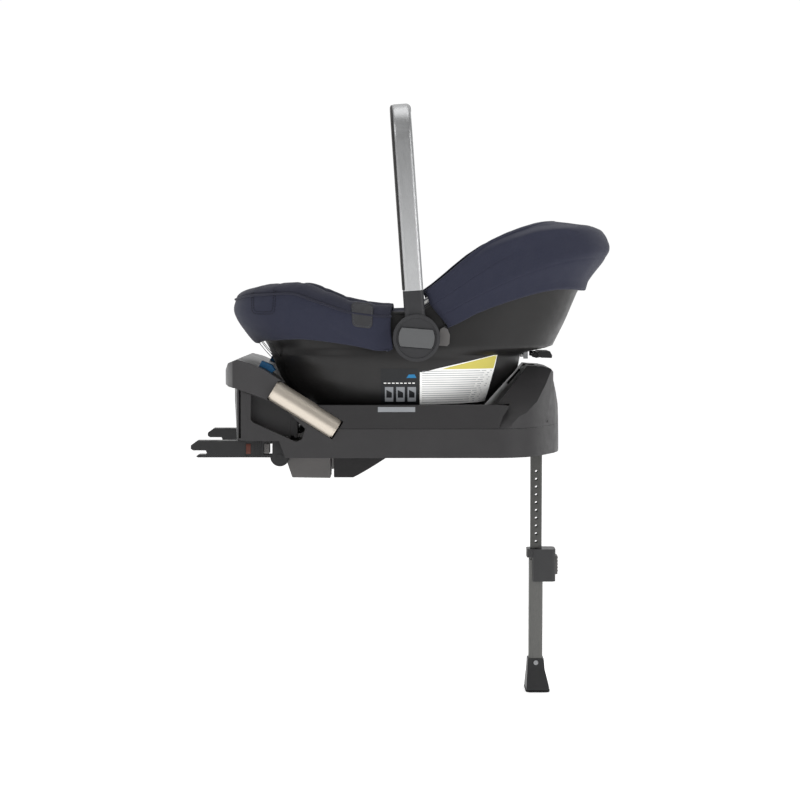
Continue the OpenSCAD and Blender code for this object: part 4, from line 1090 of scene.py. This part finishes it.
for side, tag in ((-1, "right"), (1, "left")):
    x = np.linspace(-34, 116, 30)
    y = side * (80 + 6 * np.sin((x + 34) / 150 * math.pi))
    z = look(x, SEAT_LINE, 12) + 24
    v, f = tube_form(np.stack([x, y, z], 1), np.stack([lobe(30, 13, 5), lobe(30, 15, 5)], 1))
    wing = blow_up(f"body_bolster_{tag}", v, f, 5.0, 3.0, 6.0, LOOK["insert_fabric"])
    finish_piece(wing, "carrier", "insert_fabric", *(["infant_insert"] if side < 0 else []))
    x = np.linspace(98, 176, 24)
    c = np.stack([x, np.full(24, side * 30.0), look(x, SEAT_LINE, 12) + 10.4], 1)
    v, f = tube_form(c, np.stack([lobe(24, 24, 8), lobe(24, 4.2, 8)], 1), 22)
    sleeve = blow_up(f"shoulder_pad_{tag}", v, f, 3.2, 2.2, 2.6, LOOK["insert_fabric"])
    finish_piece(sleeve, "carrier", "insert_fabric", *(["shoulder_pads"] if side < 0 else []))

# ---------------------------------------------------------------- hood pieces baked in place, labels

for piece in (hood, strip, strip_thread, edge_cord, *seam_pieces):
    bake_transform(piece)


def label(name, corners, mat, out, steps=24):
    """A thin sticker on the shell's right side; corners are (x, z) in order, out is its height."""
    a, b, c, d = (np.array(q, float) for q in corners)
    s = np.linspace(0, 1, steps)
    g = np.array([[(1 - j) * ((1 - i) * a + i * b) + j * ((1 - i) * d + i * c) for i in s] for j in s])
    y = -(shell_y(g[..., 0], g[..., 1]) + out)
    finish_piece(grid_mesh(name, np.stack([g[..., 0], y, g[..., 1]], -1), mat), "carrier")


def oblong(x0, x1, z0, z1):
    return [(x0, z0), (x1, z0), (x1, z1), (x0, z1)]


label("label_white", [(6, 90.5), (122, 92), (134, 148), (6, 148)], paper, 0.30)
label("label_white_top", [(6, 146), (134, 146), (141, 177.5), (35, 154)], paper, 0.32)
label("label_header", [(44, 153), (134, 153), (139.8, 176.4), (58, 157)], paper_yellow, 0.46)
seed = np.random.default_rng(11)
for k in range(15):
    z = 149.5 - k * 3.9
    end_x = 112 + (z - 93) * 0.36 - seed.uniform(0, 9)
    label(f"label_line_{k + 1}", oblong(10, end_x, z - 0.5, z + 0.5), paper_line, 0.5, 10)
label("label_dark", oblong(-61, 2.5, 91, 154), paper_dark, 0.30)
for k in range(3):
    x = -54 + k * 19.5
    label(f"label_square_{k + 1}", oblong(x, x + 14.5, 96, 122), paper_grey, 0.48)
    mark = [(x + 2.5, 103), (x + 12, 103), (x + 12, 112), (x + 2.5, 117)]
    label(f"label_mark_{k + 1}", mark, paper_dark, 0.6, 8)
for k in range(8):
    x = -56 + k * 7
    label(f"label_dash_{k + 1}", oblong(x, x + 4.6, 128, 129.6), paper, 0.48, 6)
label("label_dot", [(-17, 138), (0, 138), (-3, 144), (-13, 144)], paper_blue, 0.48)
strip_x, strip_z = np.meshgrid(np.linspace(-66, -2, 20), np.linspace(79.5, 88, 6))
strip_grid = np.stack([strip_x, np.full_like(strip_x, -175.25), strip_z], -1)
finish_piece(grid_mesh("label_strip", strip_grid, paper_grey), "base")

# ---------------------------------------------------------------- stage and light

# The base's parting line in plan, as (x, half width).
parting = [(-150, 175.05), (140, 175.05), (165, 170.05), (190, 158.05), (210, 138.05), (228, 105.05),
           (245, 72), (254, 44)]
for side, tag in ((-1, "right"), (1, "left")):
    path = smooth_line([(x, side * y, 50.15) for x, y in parting], 160, 1)
    seam = sweep(f"base_seam_{tag}", path, 0.55, LOOK["dark_plastic"], sides=8)
    finish_piece(seam, "base", "dark_plastic")

# status windows let into both faces of each anchor arm
WINDOW = ((1, 0), (0.98, 0.35), (0.9, 0.5), (0.5, 0.62), (0.02, 0.65))  # (size, height)
window_look = plastic("status_window", "#552a20", 0.3, 0.04)
outline = smooth_line([(-294.6, 5), (-294.6, 23), (-286.4, 23), (-286.4, 5), (-294.6, 5)], 61, 1)[:-1]
mid = outline.mean(0)
for arm, centre_y in (("arm_left", -140), ("arm_right", 140)):
    for side in (-1, 1):
        y = centre_y + side * 10.95
        rows = [[(x, y + side * h, z) for x, z in mid + (outline - mid) * f] for f, h in WINDOW]
        face = "outer" if side * centre_y > 0 else "inner"
        name = f"status_window_{arm}_{face}"
        pane = grid_mesh(name, rows, window_look, wrap=True, flip=side > 0)
        finish_piece(pane, arm)

bpy.ops.mesh.primitive_plane_add(size=60, location=(0, 0, -0.4405))
floor = bpy.context.active_object
floor.name = "floor"
floor_mat = bpy.data.materials.new("floor")
floor_mat.use_nodes = True
floor_bsdf = floor_mat.node_tree.nodes["Principled BSDF"]
floor_bsdf.inputs["Base Color"].default_value = (0.9, 0.9, 0.9, 1)
floor_bsdf.inputs["Roughness"].default_value = 0.9
floor_bsdf.inputs["Emission Color"].default_value = (1, 1, 1, 1)
floor_bsdf.inputs["Emission Strength"].default_value = 0.6
floor.data.materials.append(floor_mat)

world = bpy.data.worlds.new("studio")
scene.world = world
world.use_nodes = True
tree = world.node_tree
background = tree.nodes["Background"]
coord = tree.nodes.new("ShaderNodeTexCoord")
split = tree.nodes.new("ShaderNodeSeparateXYZ")
span = tree.nodes.new("ShaderNodeMapRange")
span.interpolation_type = "SMOOTHSTEP"
span.inputs["From Min"].default_value = -0.3
span.inputs["From Max"].default_value = 0.92
span.inputs["To Min"].default_value = 0.22
span.inputs["To Max"].default_value = 1.02
tree.links.new(coord.outputs["Generated"], split.inputs[0])
tree.links.new(split.outputs["Y"], span.inputs["Value"])
tree.links.new(span.outputs["Result"], background.inputs["Strength"])
background.inputs["Color"].default_value = (1, 1, 1, 1)


def area_light(name, place, aim, size, power):
    data = bpy.data.lights.new(name, "AREA")
    data.shape = "RECTANGLE"
    data.size, data.size_y = size
    data.energy = power
    lamp = bpy.data.objects.new(name, data)
    scene.collection.objects.link(lamp)
    lamp.location = place
    lamp.rotation_euler = (Vector(aim) - Vector(place)).to_track_quat("-Z", "Y").to_euler()
    return lamp


area_light("key", (-1.6, -2.4, 2.2), (0, 0, 0.15), (1.6, 1.6), 34)
area_light("fill", (2.3, -2.0, 1.2), (0.05, 0, 0.15), (1.2, 2.0), 26)
area_light("top", (0.1, 0.2, 2.9), (0, 0, 0.2), (2.2, 1.6), 30)
